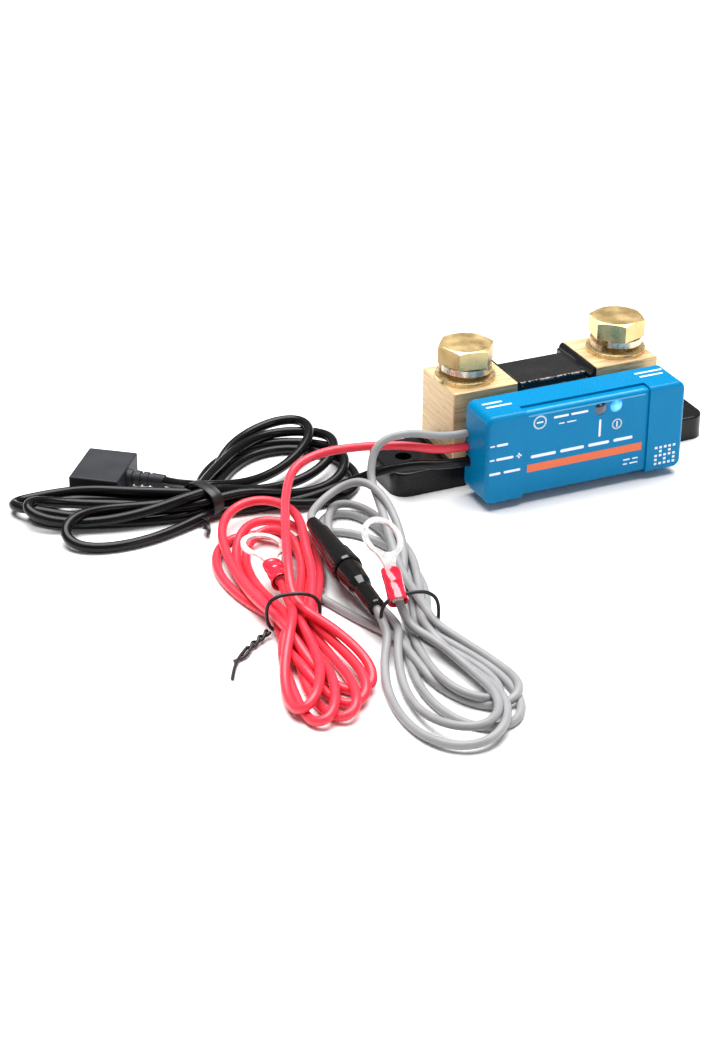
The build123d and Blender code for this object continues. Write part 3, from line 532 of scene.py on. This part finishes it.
class Look:
    """A material with one shader, and the texture nodes that feed it. Textures are in metres."""

    def __init__(self, name, colour, roughness, **values):
        self.material = bpy.data.materials.new(name)
        self.material.use_nodes = True
        self.tree = self.material.node_tree
        self.shader = self.tree.nodes["Principled BSDF"]
        self.place = self.tree.nodes.new("ShaderNodeTexCoord").outputs["Object"]
        self.shader.inputs["Base Color"].default_value = (*colour, 1)
        self.shader.inputs["Roughness"].default_value = roughness
        for key, value in values.items():
            self.shader.inputs[key.replace("_", " ")].default_value = value

    def add(self, kind, **inputs):
        """A new node with these values or links on its inputs."""
        node = self.tree.nodes.new(kind)
        for key, value in inputs.items():
            socket = node.inputs[key.replace("_", " ")]
            if isinstance(value, bpy.types.NodeSocket):
                self.tree.links.new(value, socket)
            else:
                socket.default_value = value
        return node

    def noise(self, scale, detail=3.0, stretch=(1, 1, 1)):
        """Noise from 0 to 1 with scale spots to the metre, drawn out by stretch."""
        placed = self.add("ShaderNodeMapping", Vector=self.place, Scale=stretch)
        spots = self.add("ShaderNodeTexNoise", Vector=placed.outputs[0], Scale=scale, Detail=detail)
        return spots.outputs["Fac"]

    def part(self, source, axis):
        """One coordinate of a place or a direction."""
        return self.add("ShaderNodeSeparateXYZ", Vector=source).outputs[axis]

    def math(self, operation, first, second=0.0):
        node = self.tree.nodes.new("ShaderNodeMath")
        node.operation = operation
        for socket, value in zip(node.inputs, (first, second)):
            if isinstance(value, bpy.types.NodeSocket):
                self.tree.links.new(value, socket)
            else:
                socket.default_value = value
        return node.outputs[0]

    def spread(self, value, low, high, start=0.35, end=0.65):
        """The value's range from start to end, moved to low to high and held there."""
        node = self.add("ShaderNodeMapRange", Value=value)
        node.inputs["From Min"].default_value = start
        node.inputs["From Max"].default_value = end
        node.inputs["To Min"].default_value = low
        node.inputs["To Max"].default_value = high
        return node.outputs[0]

    def mix(self, share, first, second):
        """Two colours, or a colour socket and a colour, mixed by a share from 0 to 1."""
        node = self.tree.nodes.new("ShaderNodeMix")
        node.data_type = "RGBA"
        for socket, value in ((node.inputs[0], share), (node.inputs[6], first), (node.inputs[7], second)):
            if isinstance(value, bpy.types.NodeSocket):
                self.tree.links.new(value, socket)
            else:
                socket.default_value = (*value, 1) if isinstance(value, tuple) else value
        return node.outputs[2]

    def colour(self, socket):
        self.tree.links.new(socket, self.shader.inputs["Base Color"])
        return self

    def rough(self, socket):
        self.tree.links.new(socket, self.shader.inputs["Roughness"])
        return self

    def bump(self, height, distance, strength=0.5):
        """Small relief, as deep as distance in metres."""
        node = self.add("ShaderNodeBump", Height=height, Strength=strength, Distance=distance)
        for link in list(self.shader.inputs["Normal"].links):
            self.tree.links.new(link.from_socket, node.inputs["Normal"])
        self.tree.links.new(node.outputs[0], self.shader.inputs["Normal"])
        return self

    def facing(self, axis):
        """How far the surface faces along an axis, from 0 to 1."""
        normal = self.add("ShaderNodeNewGeometry").outputs["Normal"]
        return self.math("ABSOLUTE", self.part(normal, axis))


def brass_block_look():
    """Sawn and brushed brass bar: grain lines along each face, and a few darker streaks."""
    look = Look("brass_bar", (0.78, 0.56, 0.29), 0.42, Metallic=0.35, Specular_IOR_Level=0.3)
    along_x = look.noise(28, 5, (3, 60, 60))
    along_y = look.noise(28, 5, (60, 3, 60))
    share = look.spread(look.facing("X"), 0, 1, 0.4, 0.6)
    grain = look.add("ShaderNodeMix", Factor=share)
    look.tree.links.new(along_x, grain.inputs[2])
    look.tree.links.new(along_y, grain.inputs[3])
    lines = grain.outputs[0]
    blotch = look.noise(140, 3)
    base = look.mix(look.spread(lines, 0, 1, 0.36, 0.62), (0.64, 0.42, 0.20), (0.92, 0.70, 0.41))
    streak = look.spread(look.noise(60, 4, (1, 7, 12)), 0, 0.55, 0.60, 0.72)
    tinted = look.mix(streak, base, (0.46, 0.27, 0.11))
    look.colour(look.mix(look.spread(blotch, 0, 0.22), tinted, (0.95, 0.76, 0.47)))
    look.rough(look.spread(lines, 0.32, 0.5))
    return look.bump(lines, 0.05 * MM, 0.55).material


def brass_bolt_look():
    """Passivated brass: satin, with cloudy patches and small pits."""
    look = Look("bolt_brass", (0.72, 0.50, 0.20), 0.3, Metallic=0.8)
    cloud = look.noise(210, 4)
    speck = look.noise(1100, 3)
    base = look.mix(look.spread(cloud, 0, 1), (0.66, 0.46, 0.19), (0.80, 0.59, 0.28))
    look.colour(look.mix(look.spread(speck, 0, 0.5, 0.62, 0.74), base, (0.46, 0.31, 0.13)))
    look.rough(look.spread(cloud, 0.27, 0.38))
    return look.bump(look.math("ADD", cloud, speck), 0.03 * MM, 0.3).material


def washer_look(name, colour, roughness, metal=1.0):
    """A turned metal ring with fine scratches."""
    look = Look(name, colour, roughness, Metallic=metal)
    scratch = look.noise(420, 5, (1, 2.5, 1))
    darker = tuple(0.72 * part for part in colour)
    look.colour(look.mix(look.spread(scratch, 0, 1), darker, colour))
    look.rough(look.spread(scratch, roughness * 0.8, roughness * 1.35))
    return look.bump(scratch, 0.02 * MM, 0.4).material


def moulded_look(name, colour, roughness, grain=2600, depth=0.02, mottle=0.10, **values):
    """Moulded plastic or rubber: fine grain, and slight cloudiness in colour and gloss."""
    look = Look(name, colour, roughness, **values)
    cloud = look.noise(75, 3)
    fine = look.noise(grain, 2)
    darker = tuple(part * (1 - mottle) for part in colour)
    lighter = tuple(min(1.0, part * (1 + mottle)) for part in colour)
    look.colour(look.mix(look.spread(cloud, 0, 1), darker, lighter))
    look.rough(look.spread(fine, roughness * 0.88, roughness * 1.15))
    return look.bump(fine, depth * MM, 0.5).material


def lacquer_look():
    """Black lacquer over copper alloy: glossy, rubbed to bare metal along its front edge."""
    look = Look("plate_lacquer", (0.014, 0.014, 0.015), 0.17, Coat_Weight=0.5, Coat_Roughness=0.08)
    ripple = look.noise(160, 3)
    dust = look.noise(900, 4)
    front = look.spread(look.part(look.place, "Y"), 1, 0, PLATE_FRONT + 0.1 * MM, PLATE_FRONT + 0.9 * MM)
    top = look.spread(look.part(look.place, "Z"), 0, 1, PLATE_TOP - 0.7 * MM, PLATE_TOP - 0.1 * MM)
    edge = look.math("MULTIPLY", front, top)
    worn = look.math("MULTIPLY", edge, look.spread(dust, 0.0, 1.0, 0.44, 0.56))
    base = look.mix(look.spread(dust, 0, 0.35, 0.60, 0.75), (0.012, 0.012, 0.013), (0.07, 0.07, 0.07))
    look.colour(look.mix(worn, base, (0.62, 0.56, 0.48)))
    look.rough(look.spread(ripple, 0.13, 0.26))
    return look.bump(ripple, 0.12 * MM, 0.4).material


def board_look():
    """Green solder mask with copper tracks showing through it."""
    look = Look("board_mask", (0.01, 0.12, 0.045), 0.32, Coat_Weight=0.3)
    tracks = look.spread(look.noise(230, 0, (1, 1, 3)), 0, 1, 0.49, 0.51)
    look.colour(look.mix(tracks, (0.008, 0.10, 0.04), (0.03, 0.20, 0.08)))
    return look.bump(tracks, 0.03 * MM, 0.5).material


def cord_look(name, colour, roughness, **values):
    """PVC cord: a smooth skin with slow waviness and a little dust."""
    look = Look(name, colour, roughness, **values)
    wave = look.noise(120, 2)
    dust = look.noise(500, 3)
    darker = tuple(part * 0.88 for part in colour)
    look.colour(look.mix(look.spread(wave, 0, 1), darker, colour))
    look.rough(look.spread(dust, roughness * 0.92, roughness * 1.1))
    look.bump(wave, 0.10 * MM, 0.25)
    return look.bump(dust, 0.004 * MM, 0.3).material


def lamp_look():
    """The lit lamp: a clear blue lens, brightest at its middle."""
    look = Look("led_blue", (0.02, 0.30, 0.95), 0.12, Coat_Weight=1.0)
    look.shader.inputs["Emission Strength"].default_value = 1.0
    middle = look.add("ShaderNodeCombineXYZ", X=LAMP_CENTRE[0], Y=LAMP_CENTRE[1], Z=LAMP_CENTRE[2])
    gap = look.tree.nodes.new("ShaderNodeVectorMath")
    gap.operation = "DISTANCE"
    look.tree.links.new(look.place, gap.inputs[0])
    look.tree.links.new(middle.outputs[0], gap.inputs[1])
    outward = look.spread(gap.outputs["Value"], 0, 1, 0.4 * MM, 2.3 * MM)
    glow = look.mix(outward, (0.14, 0.62, 1.0), (0.0, 0.16, 0.85))
    look.tree.links.new(glow, look.shader.inputs["Emission Color"])
    return look.material


def dent_look(name, colour, roughness, **values):
    """Thin tinned sheet or vinyl: soft pressed unevenness."""
    look = Look(name, colour, roughness, **values)
    press = look.noise(330, 3)
    stain = look.noise(900, 4)
    darker = tuple(part * 0.80 for part in colour)
    look.colour(look.mix(look.spread(stain, 0, 1), darker, colour))
    look.rough(look.spread(press, roughness * 0.75, roughness * 1.3))
    return look.bump(press, 0.12 * MM, 0.35).material


# ------------------------------------------------------------------ pieces


def new_mesh(name, grid, closed_round=True, closed_along=False, caps=True):
    """A mesh over rows of points, one row for each section along the piece."""
    mesh = bmesh.new()
    rows = [[mesh.verts.new(place) for place in row] for row in grid]
    spans = list(zip(rows, rows[1:]))
    if closed_along:
        spans.append((rows[-1], rows[0]))
    for one, two in spans:
        count = len(one)
        for k in range(count if closed_round else count - 1):
            after = (k + 1) % count
            mesh.faces.new((one[k], one[after], two[after], two[k]))
    if caps and closed_round and not closed_along:
        mesh.faces.new(list(reversed(rows[0])))
        mesh.faces.new(rows[-1])
    bmesh.ops.recalc_face_normals(mesh, faces=mesh.faces)
    data = bpy.data.meshes.new(name)
    mesh.to_mesh(data)
    mesh.free()
    piece = bpy.data.objects.new(name, data)
    bpy.context.scene.collection.objects.link(piece)
    return piece


def smooth(piece, angle=35):
    """Smooth shading, with edges sharper than the angle kept crisp."""
    for face in piece.data.polygons:
        face.use_smooth = True
    piece.data.set_sharp_from_angle(angle=radians(angle))
    return piece


def joined(name, pieces):
    """Several meshes as one piece."""
    bpy.ops.object.select_all(action="DESELECT")
    for piece in pieces:
        piece.select_set(True)
    bpy.context.view_layer.objects.active = pieces[0]
    bpy.ops.object.join()
    pieces[0].name = name
    return pieces[0]


def finish_piece(piece, look, body="shunt"):
    """Gives a piece its material and slot, and sets it on its body."""
    piece.data.materials.clear()
    piece.data.materials.append(look)
    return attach(piece, body)


def flat_mark(outline, face):
    """A thin printed shape: an outline in the face's own two directions, raised off the face."""
    origin, across, up, out = (Vector(v) for v in face)
    layers = []
    for height in (-PRINT_THICKNESS, PRINT_THICKNESS):
        layers.append([origin + across * x * MM + up * y * MM + out * height for x, y in outline])
    return new_mesh("mark", layers)


def bar(x, y, length, width, turn=0):
    """The outline of a bar with round ends, from its left end's middle."""
    points = []
    for end, start in ((length - width / 2, -90), (width / 2, 90)):
        for k in range(7):
            angle = radians(start + 30 * k)
            points.append((end + width / 2 * cos(angle), width / 2 * sin(angle)))
    c, s = cos(radians(turn)), sin(radians(turn))
    return [(x + a * c - b * s, y + a * s + b * c) for a, b in points]


def box_outline(x, y, length, width):
    return [(x, y), (x + length, y), (x + length, y + width), (x, y + width)]


def ring_marks(x, y, radius, width, start=0, sweep=360):
    """Short bars that make a ring or an arc."""
    count = max(6, round(sweep / 18))
    step = sweep / count
    chord = 2 * radius * sin(radians(step / 2))
    marks = []
    for k in range(count):
        angle = start + step * k
        px, py = x + radius * cos(radians(angle)), y + radius * sin(radians(angle))
        marks.append(bar(px, py, chord + width * 0.6, width, angle + 90 + step / 2))
    return marks


def word_bars(x, y, lengths, width, gap):
    """A row of bars that stands where a printed line is."""
    marks = []
    for length in lengths:
        marks.append(bar(x, y, length, width))
        x += length + gap
    return marks


def make_cover_print(white, orange):
    """Plain marks on the cover, in the places and sizes of its print."""
    panel = ((0, PANEL_Y, 0), (1, 0, 0), (0, 0, 1), (0, -1, 0))
    front = ((0, FRONT_Y, 0), (1, 0, 0), (0, 0, 1), (0, -1, 0))
    top = ((0, 0, COVER_TOP), (1, 0, 0), (0, 1, 0), (0, 0, 1))
    on_front = [
        bar(-36.3, 24.0, 1.8, 0.55), *word_bars(-33.9, 24.0, (4.2,), 0.9, 1),
        bar(-36.3, 18.9, 1.8, 0.55), *word_bars(-33.9, 18.9, (6.4,), 0.9, 1),
        bar(-26.5, 18.9, 2.0, 0.55), bar(-25.5, 17.9, 2.0, 0.55, 90),
        *word_bars(-36.3, 13.8, (4.2, 6.2), 0.9, 1.1),
    ]
    for row in range(5):
        for column in range(5):
            if (row * 3 + column * 2) % 4 != 1 or row in (0, 4):
                on_front.append(box_outline(26.6 + 1.75 * column, 4.9 + 1.5 * row, 1.0, 0.85))
    on_panel = [
        *ring_marks(-17.7, 29.1, 2.2, 0.55), bar(-19.0, 29.1, 2.6, 0.55),
        *word_bars(-12.6, 29.9, (5.6, 6.4), 0.8, 0.9), *word_bars(-10.6, 27.3, (2.2, 3.6), 0.4, 0.8),
        bar(5.1, 19.5, 6.4, 0.8, 90),
        *ring_marks(11.6, 23.0, 1.7, 0.5), bar(11.6, 21.9, 2.2, 0.5, 90),
        *word_bars(-20.6, 17.0, (9.4, 9.0, 8.0, 7.4), 1.1, 1.6),
        *word_bars(14.9, 8.8, (2.6, 2.2), 0.5, 0.9), *word_bars(14.9, 7.2, (1.6, 3.2), 0.5, 0.9),
    ]
    on_top = [
        *word_bars(-34.2, -12.4, (7.4,), 0.9, 1), *word_bars(-34.0, -15.2, (9.4,), 0.9, 1),
        *word_bars(24.0, -11.2, (10.6,), 0.9, 1), *word_bars(24.4, -14.0, (9.0,), 0.9, 1),
    ]
    marks = [flat_mark(outline, panel) for outline in on_panel]
    marks += [flat_mark(outline, front) for outline in on_front]
    marks += [flat_mark(outline, top) for outline in on_top]
    finish_piece(joined("cover_marks", marks), white)
    stripe = flat_mark(box_outline(-21.8, 11.5, 43.5, 2.8), panel)
    stripe.name = "cover_stripe"
    finish_piece(stripe, orange)


def make_ledge_highlight(look):
    """The rounded ledge along the top front edge of the sunk panel, in a lighter blue that paints a highlight
    along it.
    """
    rows = []
    for x in (-LEDGE_HALF, -LEDGE_HALF + 0.6 * MM, 0, LEDGE_HALF - 0.6 * MM, LEDGE_HALF):
        grow = 0.55 if abs(x) == LEDGE_HALF else 1.0
        row = []
        for k in range(9):
            angle = radians(90 * k / 8)
            y = LEDGE_Y - LEDGE_RADIUS * grow * sin(angle)
            z = LEDGE_Z + LEDGE_RADIUS * grow * cos(angle)
            row.append((x, y, z))
        row.append((x, LEDGE_Y, LEDGE_Z))
        rows.append(row)
    finish_piece(smooth(new_mesh("cover_ledge_highlight", rows), 40), look)


def make_lacquer_walls(look):
    """The lacquered inner faces of the two blocks, which rise beside the plates."""
    walls = []
    for side in (-1, 1):
        rows = []
        for share in np.linspace(0, 1, 13):
            y = WALL_FRONT + (WALL_BACK - WALL_FRONT) * share
            wave = 0.12 * MM * sin(9 * share + side)
            outer, foot = side * WALL_X, side * (WALL_X - WALL_THICKNESS)
            rows.append([
                (outer, y, PLATE_TOP - 1.5 * MM),
                (outer, y, WALL_TOP),
                (outer - side * 0.5 * MM, y, WALL_TOP + 0.05 * MM),
                (foot + side * 0.45 * MM + wave, y, WALL_TOP - 0.25 * MM),
                (foot + wave, y, WALL_TOP - 0.8 * MM),
                (foot - side * 0.3 * MM + wave, y, PLATE_TOP + 0.3 * MM),
                (foot - side * 1.1 * MM, y, PLATE_TOP),
                (foot - side * 1.1 * MM, y, PLATE_TOP - 1.5 * MM),
            ])
        walls.append(smooth(new_mesh("wall", rows), 50))
    finish_piece(joined("lacquer_walls", walls), look)


def tube(name, points, radius, sides=12, closed=False):
    """A round wire through points, kept from twisting."""
    places = [Vector(p) for p in points]
    count = len(places)
    normal = Vector((0, 0, 1))
    rows = []
    for k, place in enumerate(places):
        before = places[(k - 1) % count] if closed or k else place
        after = places[(k + 1) % count] if closed or k < count - 1 else place
        way = (after - before).normalized()
        normal = (normal - way * normal.dot(way)).normalized()
        side = way.cross(normal)
        turns = [2 * pi * j / sides for j in range(sides)]
        rows.append([place + (normal * cos(t) + side * sin(t)) * radius for t in turns])
    return smooth(new_mesh(name, rows, closed_along=closed), 60)


def tie_loop(hank, half, height, lean, steps=72, low=0.6 * MM):
    """The line of a tie round the strands: a rounded loop that stands across the hank."""
    points = []
    for k in range(steps):
        angle = 2 * pi * k / steps
        x = half * np.sign(cos(angle)) * abs(cos(angle)) ** 0.75
        z = (height - low) / 2 * (1 + np.sign(sin(angle)) * abs(sin(angle)) ** 0.75)
        points.append(hank.waist + hank.right * x + hank.along * (z * lean) + Vector((0, 0, low + z)))
    return points


def wire_pair(name, start, twist_end, ends, thick):
    """Two wires twisted round each other from start to twist_end, then free to their own ends."""
    axis = twist_end - start
    side = axis.cross(Vector((0, 0, 1))).normalized()
    up = side.cross(axis).normalized()
    wires = []
    for phase, end in zip((0, pi), ends):
        line = []
        for k in range(25):
            turn = phase + 2 * pi * 1.5 * k / 24
            line.append(start + axis * (k / 24) + (side * cos(turn) + up * sin(turn)) * thick * 0.55)
        last = line[-1]
        for k in range(1, 13):
            line.append(last.lerp(end, k / 12) + side * (sin(pi * k / 12) * thick * (1 if phase else -1)))
        wires.append(tube(name, line, thick / 2))
    return wires


def make_wire_tie(name, hank, half, height, lean, look, tails=None):
    """A black wire tie: its ring, and the twist and tails where it has them."""
    ring = tube(name, tie_loop(hank, half, height, lean), TIE_WIRE / 2, closed=True)
    parts = [ring]
    if tails:
        parts += wire_pair(name, *tails, TIE_WIRE * 0.95)
    return finish_piece(joined(name, parts), look)


def strip(name, points, across, width, thick, closed=False):
    """A flat strip with a wire along its middle, through points, with its width along across."""
    places = [Vector(p) for p in points]
    count = len(places)
    rows = []
    for k, place in enumerate(places):
        before = places[(k - 1) % count] if closed or k else place
        after = places[(k + 1) % count] if closed or k < count - 1 else place
        way = (after - before).normalized()
        wide = across(k / count) if callable(across) else across
        wide = (wide - way * wide.dot(way)).normalized()
        out = way.cross(wide)
        row = []
        for x, y in STRIP_SECTION:
            row.append(place + wide * (x * width / 2) + out * (y * thick))
        rows.append(row)
    return smooth(new_mesh(name, rows, closed_along=closed), 40)


def make_strip_tie(hank, look):
    """The flat twist tie of the data cord: band, twisted ends, and one cut tail."""
    ring = tie_loop(hank, 7.7 * MM, 10.2 * MM, 0.0, low=0.7 * MM)
    band = strip("data_band", ring, hank.along, 4 * MM, 0.55 * MM, True)
    start = Vector((-0.1248, 0.0062, 0.0026))
    end = Vector((-0.1277, -0.0036, 0.0022))
    line = [start.lerp(end, k / 20) for k in range(21)]
    side = (end - start).cross(Vector((0, 0, 1))).normalized()

    def turning(share):
        return side * cos(5 * share) + Vector((0, 0, sin(5 * share)))

    twist = strip("data_twist", line, turning, 2.6 * MM, 0.5 * MM)
    tail_line = []
    for s in np.linspace(0, 1, 12):
        sideways = 0.0068 - 0.0040 * s + 0.0010 * sin(pi * s)
        tail_line.append(Vector((-0.1262 - 0.0128 * s, sideways, 0.0024 - 0.0012 * s)))
    tail = strip("data_tail", tail_line, Vector((0.3, 1, 0.15)), 3.4 * MM, 0.5 * MM)
    return finish_piece(joined("data_twist_tie", [band, twist, tail]), look)


def make_sleeve(name, node, start, way, roll, look):
    """A vinyl crimp sleeve: a bell at the cord end, and flattened where the jaws pressed it."""
    side = way.cross(Vector((0, 0, 1))).normalized()
    side = Matrix.Rotation(radians(roll), 3, way) @ side
    up = side.cross(way)
    rows = []
    for share, width, thick in SLEEVE_SECTIONS:
        place = start + way * (share * SLEEVE_LENGTH)
        row = []
        for k in range(SLEEVE_SIDES):
            angle = 2 * pi * k / SLEEVE_SIDES
            dent = 1 - DENT_DEPTH * max(0, sin(angle)) ** 6 * sleeve_dent(share)
            row.append(place + (side * cos(angle) * width + up * sin(angle) * thick * dent) * MM)
        rows.append(row)
    inner = [start + way * 0.003 + (v - start) * 0.55 for v in rows[0]]
    rows = [[start + (v - start) * 0.82 for v in rows[0]]] + rows
    piece = new_mesh(name, [inner] + rows)
    piece.modifiers.new("round", "SUBSURF").render_levels = 2
    piece.modifiers["round"].levels = 1
    smooth(piece, 80)
    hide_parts(node)
    return finish_piece(piece, look)


# ------------------------------------------------------------ looks of nodes

COVER_BLUE = (0.0, 0.200, 0.43)
CORAL = (0.86, 0.040, 0.070)

LOOKS = {
    "base_plastic": moulded_look(
        "base_black", (0.007, 0.007, 0.008), 0.24, depth=0.008, Specular_IOR_Level=0.22
    ),
    "brass_bar": brass_block_look(),
    "lacquer": lacquer_look(),
    "bolt_brass": brass_bolt_look(),
    "washer_brass": washer_look("washer_brass", (0.86, 0.66, 0.34), 0.30, 0.75),
    "spring_steel": washer_look("spring_plated", (0.86, 0.76, 0.58), 0.26, 0.7),
    "screw_steel": washer_look("screw_steel", (0.55, 0.55, 0.56), 0.3),
    "cover_blue": moulded_look(
        "cover_blue", COVER_BLUE, 0.24, grain=1500, depth=0.002, mottle=0.03, Specular_IOR_Level=0.12
    ),
    # A lighter blue for the panel's ledge: a painted highlight along its edge.
    "cover_edge_painted_highlight": moulded_look("cover_edge_painted_highlight", (0.06, 0.36, 0.66), 0.22, grain=1500, depth=0.006, mottle=0.03),
    "wall_lacquer": moulded_look("wall_lacquer", (0.011, 0.011, 0.012), 0.17, grain=700, depth=0.03),
    "board": board_look(),
    "chip_black": moulded_look("chip_black", (0.02, 0.02, 0.02), 0.5, depth=0.01),
    "shield": washer_look("shield_metal", (0.62, 0.62, 0.60), 0.35),
    "lamp_dark": moulded_look("lamp_dark", (0.006, 0.022, 0.060), 0.10, depth=0.002, Coat_Weight=1.0),
    "lamp_lit": lamp_look(),
    # Dark bushes at the cord exits: partly their own black, partly a painted shade ring round each cord.
    "bush_dark_shade": moulded_look("bush_rubber", (0.018, 0.018, 0.018), 0.6),
    "copper": washer_look("copper_strand", (0.86, 0.42, 0.22), 0.3),
    "grey_pvc": cord_look("grey_pvc", (0.30, 0.30, 0.305), 0.38, Specular_IOR_Level=0.3),
    "red_pvc": cord_look("red_pvc", CORAL, 0.32, Specular_IOR_Level=0.45),
    "black_pvc": cord_look("black_pvc", (0.006, 0.006, 0.0065), 0.22, Specular_IOR_Level=0.22),
    "tie_black": cord_look("tie_wire", (0.012, 0.012, 0.012), 0.36, Specular_IOR_Level=0.4),
    "holder_black": moulded_look(
        "holder_black", (0.006, 0.006, 0.006), 0.13, depth=0.004, Specular_IOR_Level=0.45
    ),
    "glass": moulded_look("fuse_glass", (0.85, 0.9, 0.9), 0.05, depth=0.001, Transmission_Weight=0.9),
    "nickel": washer_look("contact_nickel", (0.66, 0.64, 0.60), 0.25),
    "tin": dent_look("terminal_tin", (0.86, 0.86, 0.84), 0.36, Metallic=0.45),
    "sleeve_red": dent_look("sleeve_red", (0.80, 0.016, 0.05), 0.20, Coat_Weight=0.8),
    "plug_black": moulded_look(
        "plug_black", (0.020, 0.022, 0.026), 0.52,
        grain=2300, depth=0.12, mottle=0.25, Specular_IOR_Level=0.25,
    ),
    "print_white": moulded_look("print_white", (0.80, 0.86, 0.92), 0.45, depth=0.002, mottle=0.02),
    "print_orange": moulded_look("print_orange", (0.80, 0.135, 0.03), 0.42, depth=0.002, mottle=0.02),
}

NODE_LOOKS = {
    "mounting_base": "base_plastic",
    "load_block": "brass_bar",
    "battery_block": "brass_bar",
    "upper_resistor_plate": "lacquer",
    "middle_resistor_plate": "lacquer",
    "lower_resistor_plate": "lacquer",
    "block_screws": "screw_steel",
    "load_bolt": "bolt_brass",
    "battery_bolt": "bolt_brass",
    "load_flat_washer": "washer_brass",
    "battery_flat_washer": "washer_brass",
    "load_spring_washer": "spring_steel",
    "battery_spring_washer": "spring_steel",
    "front_cover": "cover_blue",
    "rear_cover": "cover_blue",
    "circuit_board": "board",
    "sense_standoffs": "washer_brass",
    "sense_screws": "screw_steel",
    "error_led": "lamp_dark",
    "status_led": "lamp_lit",
    "led_legs": "nickel",
    "radio_module": "shield",
    "processor_chip": "chip_black",
    "board_components": "chip_black",
    "cord_bushes": "bush_dark_shade",
    "lead_tails": "copper",
    "fuse_holder_cap": "holder_black",
    "fuse_holder_body": "holder_black",
    "fuse_glass": "glass",
    "fuse_end_caps": "nickel",
    "fuse_spring": "nickel",
    "cap_contact": "nickel",
    "body_contact": "nickel",
    "aux_ring_terminal": "tin",
    "voltage_ring_terminal": "tin",
    "aux_crimp_sleeve": "sleeve_red",
    "voltage_crimp_sleeve": "sleeve_red",
    "plug_body": "plug_black",
    "plug_contacts": "nickel",
    "plug_strain_relief": "plug_black",
}

CORD_LOOKS = {
    "voltage_cord": ("red_pvc", "red_pvc", "voltage"),
    "data_cord": ("black_pvc", "black_pvc", "data"),
    "aux_cord": ("grey_pvc", "grey_pvc", "aux"),
    "link_cord": ("grey_pvc", "grey_pvc", "aux"),
}


def dress_nodes():
    """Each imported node's own material."""
    for name, look in NODE_LOOKS.items():
        data = NODES[name].data
        data.materials.clear()
        data.materials.append(LOOKS[look])
        if name not in ("load_bolt", "battery_bolt"):
            smooth(NODES[name], 30)
        else:
            smooth(NODES[name], 12)


dress_nodes()
make_cover_print(LOOKS["print_white"], LOOKS["print_orange"])
# The ledge strip's lighter blue is a painted highlight.
make_ledge_highlight(LOOKS["cover_edge_painted_highlight"])
make_lacquer_walls(LOOKS["wall_lacquer"])

for cord in cords:
    look, slot, family = CORD_LOOKS[cord.name]
    piece = new_spline(cord.name, cord.controls(), cord.diameter)
    finish_piece(piece, LOOKS[look])
    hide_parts(f"{family}_hank", f"{family}_lead", f"{family}_tail")

tie_look = LOOKS["tie_black"]
voltage_tie = make_wire_tie(
    "voltage_wire_tie", VOLTAGE_HANK, 8.1 * MM, 13.0 * MM, 0.12, tie_look,
    (Vector((-0.1338, -0.0690, 0.0022)), Vector((-0.1425, -0.0745, 0.0014)),
     (Vector((-0.1490, -0.0786, 0.0007)), Vector((-0.1530, -0.0876, 0.0007)))),
)
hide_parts("voltage_tie")
aux_tie = make_wire_tie("aux_wire_tie", AUX_HANK, 9.2 * MM, 14.8 * MM, 0.15, tie_look)
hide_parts("aux_tie")
data_tie = make_strip_tie(DATA_HANK, tie_look)
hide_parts("data_tie")
voltage_sleeve = make_sleeve(
    "voltage_sleeve", "voltage_crimp_sleeve", VOLTAGE_SLEEVE_START, VOLTAGE_RING_WAY, 6, LOOKS["sleeve_red"]
)
aux_sleeve = make_sleeve(
    "aux_sleeve", "aux_crimp_sleeve", AUX_SLEEVE_START, AUX_RING_WAY, 20, LOOKS["sleeve_red"]
)

# ------------------------------------------------------------------- stage


def make_stage():
    """A plain pale floor, a white surround and soft lights."""
    floor = new_mesh("floor", [[(-4, -4, 0), (4, -4, 0)], [(-4, 4, 0), (4, 4, 0)]], closed_round=False)
    look = Look("floor_paper", (0.90, 0.90, 0.90), 0.7)
    look.rough(look.spread(look.noise(30, 2), 0.65, 0.75))
    floor.data.materials.append(look.material)
    world = bpy.data.worlds.new("studio")
    bpy.context.scene.world = world
    world.use_nodes = True
    world.node_tree.nodes["Background"].inputs["Color"].default_value = (1, 1, 1, 1)
    world.node_tree.nodes["Background"].inputs["Strength"].default_value = WORLD_STRENGTH
    sun = bpy.data.lights.new("key_light", "SUN")
    sun.angle = radians(KEY_SPREAD)
    sun.energy = KEY_STRENGTH
    key = bpy.data.objects.new("key_light", sun)
    key.rotation_euler = (-Vector(KEY_WAY)).to_track_quat("-Z", "Y").to_euler()
    bpy.context.scene.collection.objects.link(key)
    for name, place, target, size, power in LIGHTS:
        data = bpy.data.lights.new(name, "AREA")
        data.size = size
        data.energy = power
        light = bpy.data.objects.new(name, data)
        light.location = place
        way = Vector(target) - Vector(place)
        light.rotation_euler = way.to_track_quat("-Z", "Y").to_euler()
        bpy.context.scene.collection.objects.link(light)


WORLD_STRENGTH = 0.17
KEY_WAY = (0.10, 0.28, 1.2)
KEY_SPREAD = 60
KEY_STRENGTH = 6.6
LIGHTS = [
    ("left_light", (-1.0, -0.35, 0.6), (-0.08, 0, 0.02), 0.6, 0.4),
    ("front_light", (0.40, -1.0, 0.5), (-0.03, 0, 0.02), 0.5, 1.6),
]
make_stage()
bpy.context.scene.view_settings.view_transform = "Standard"
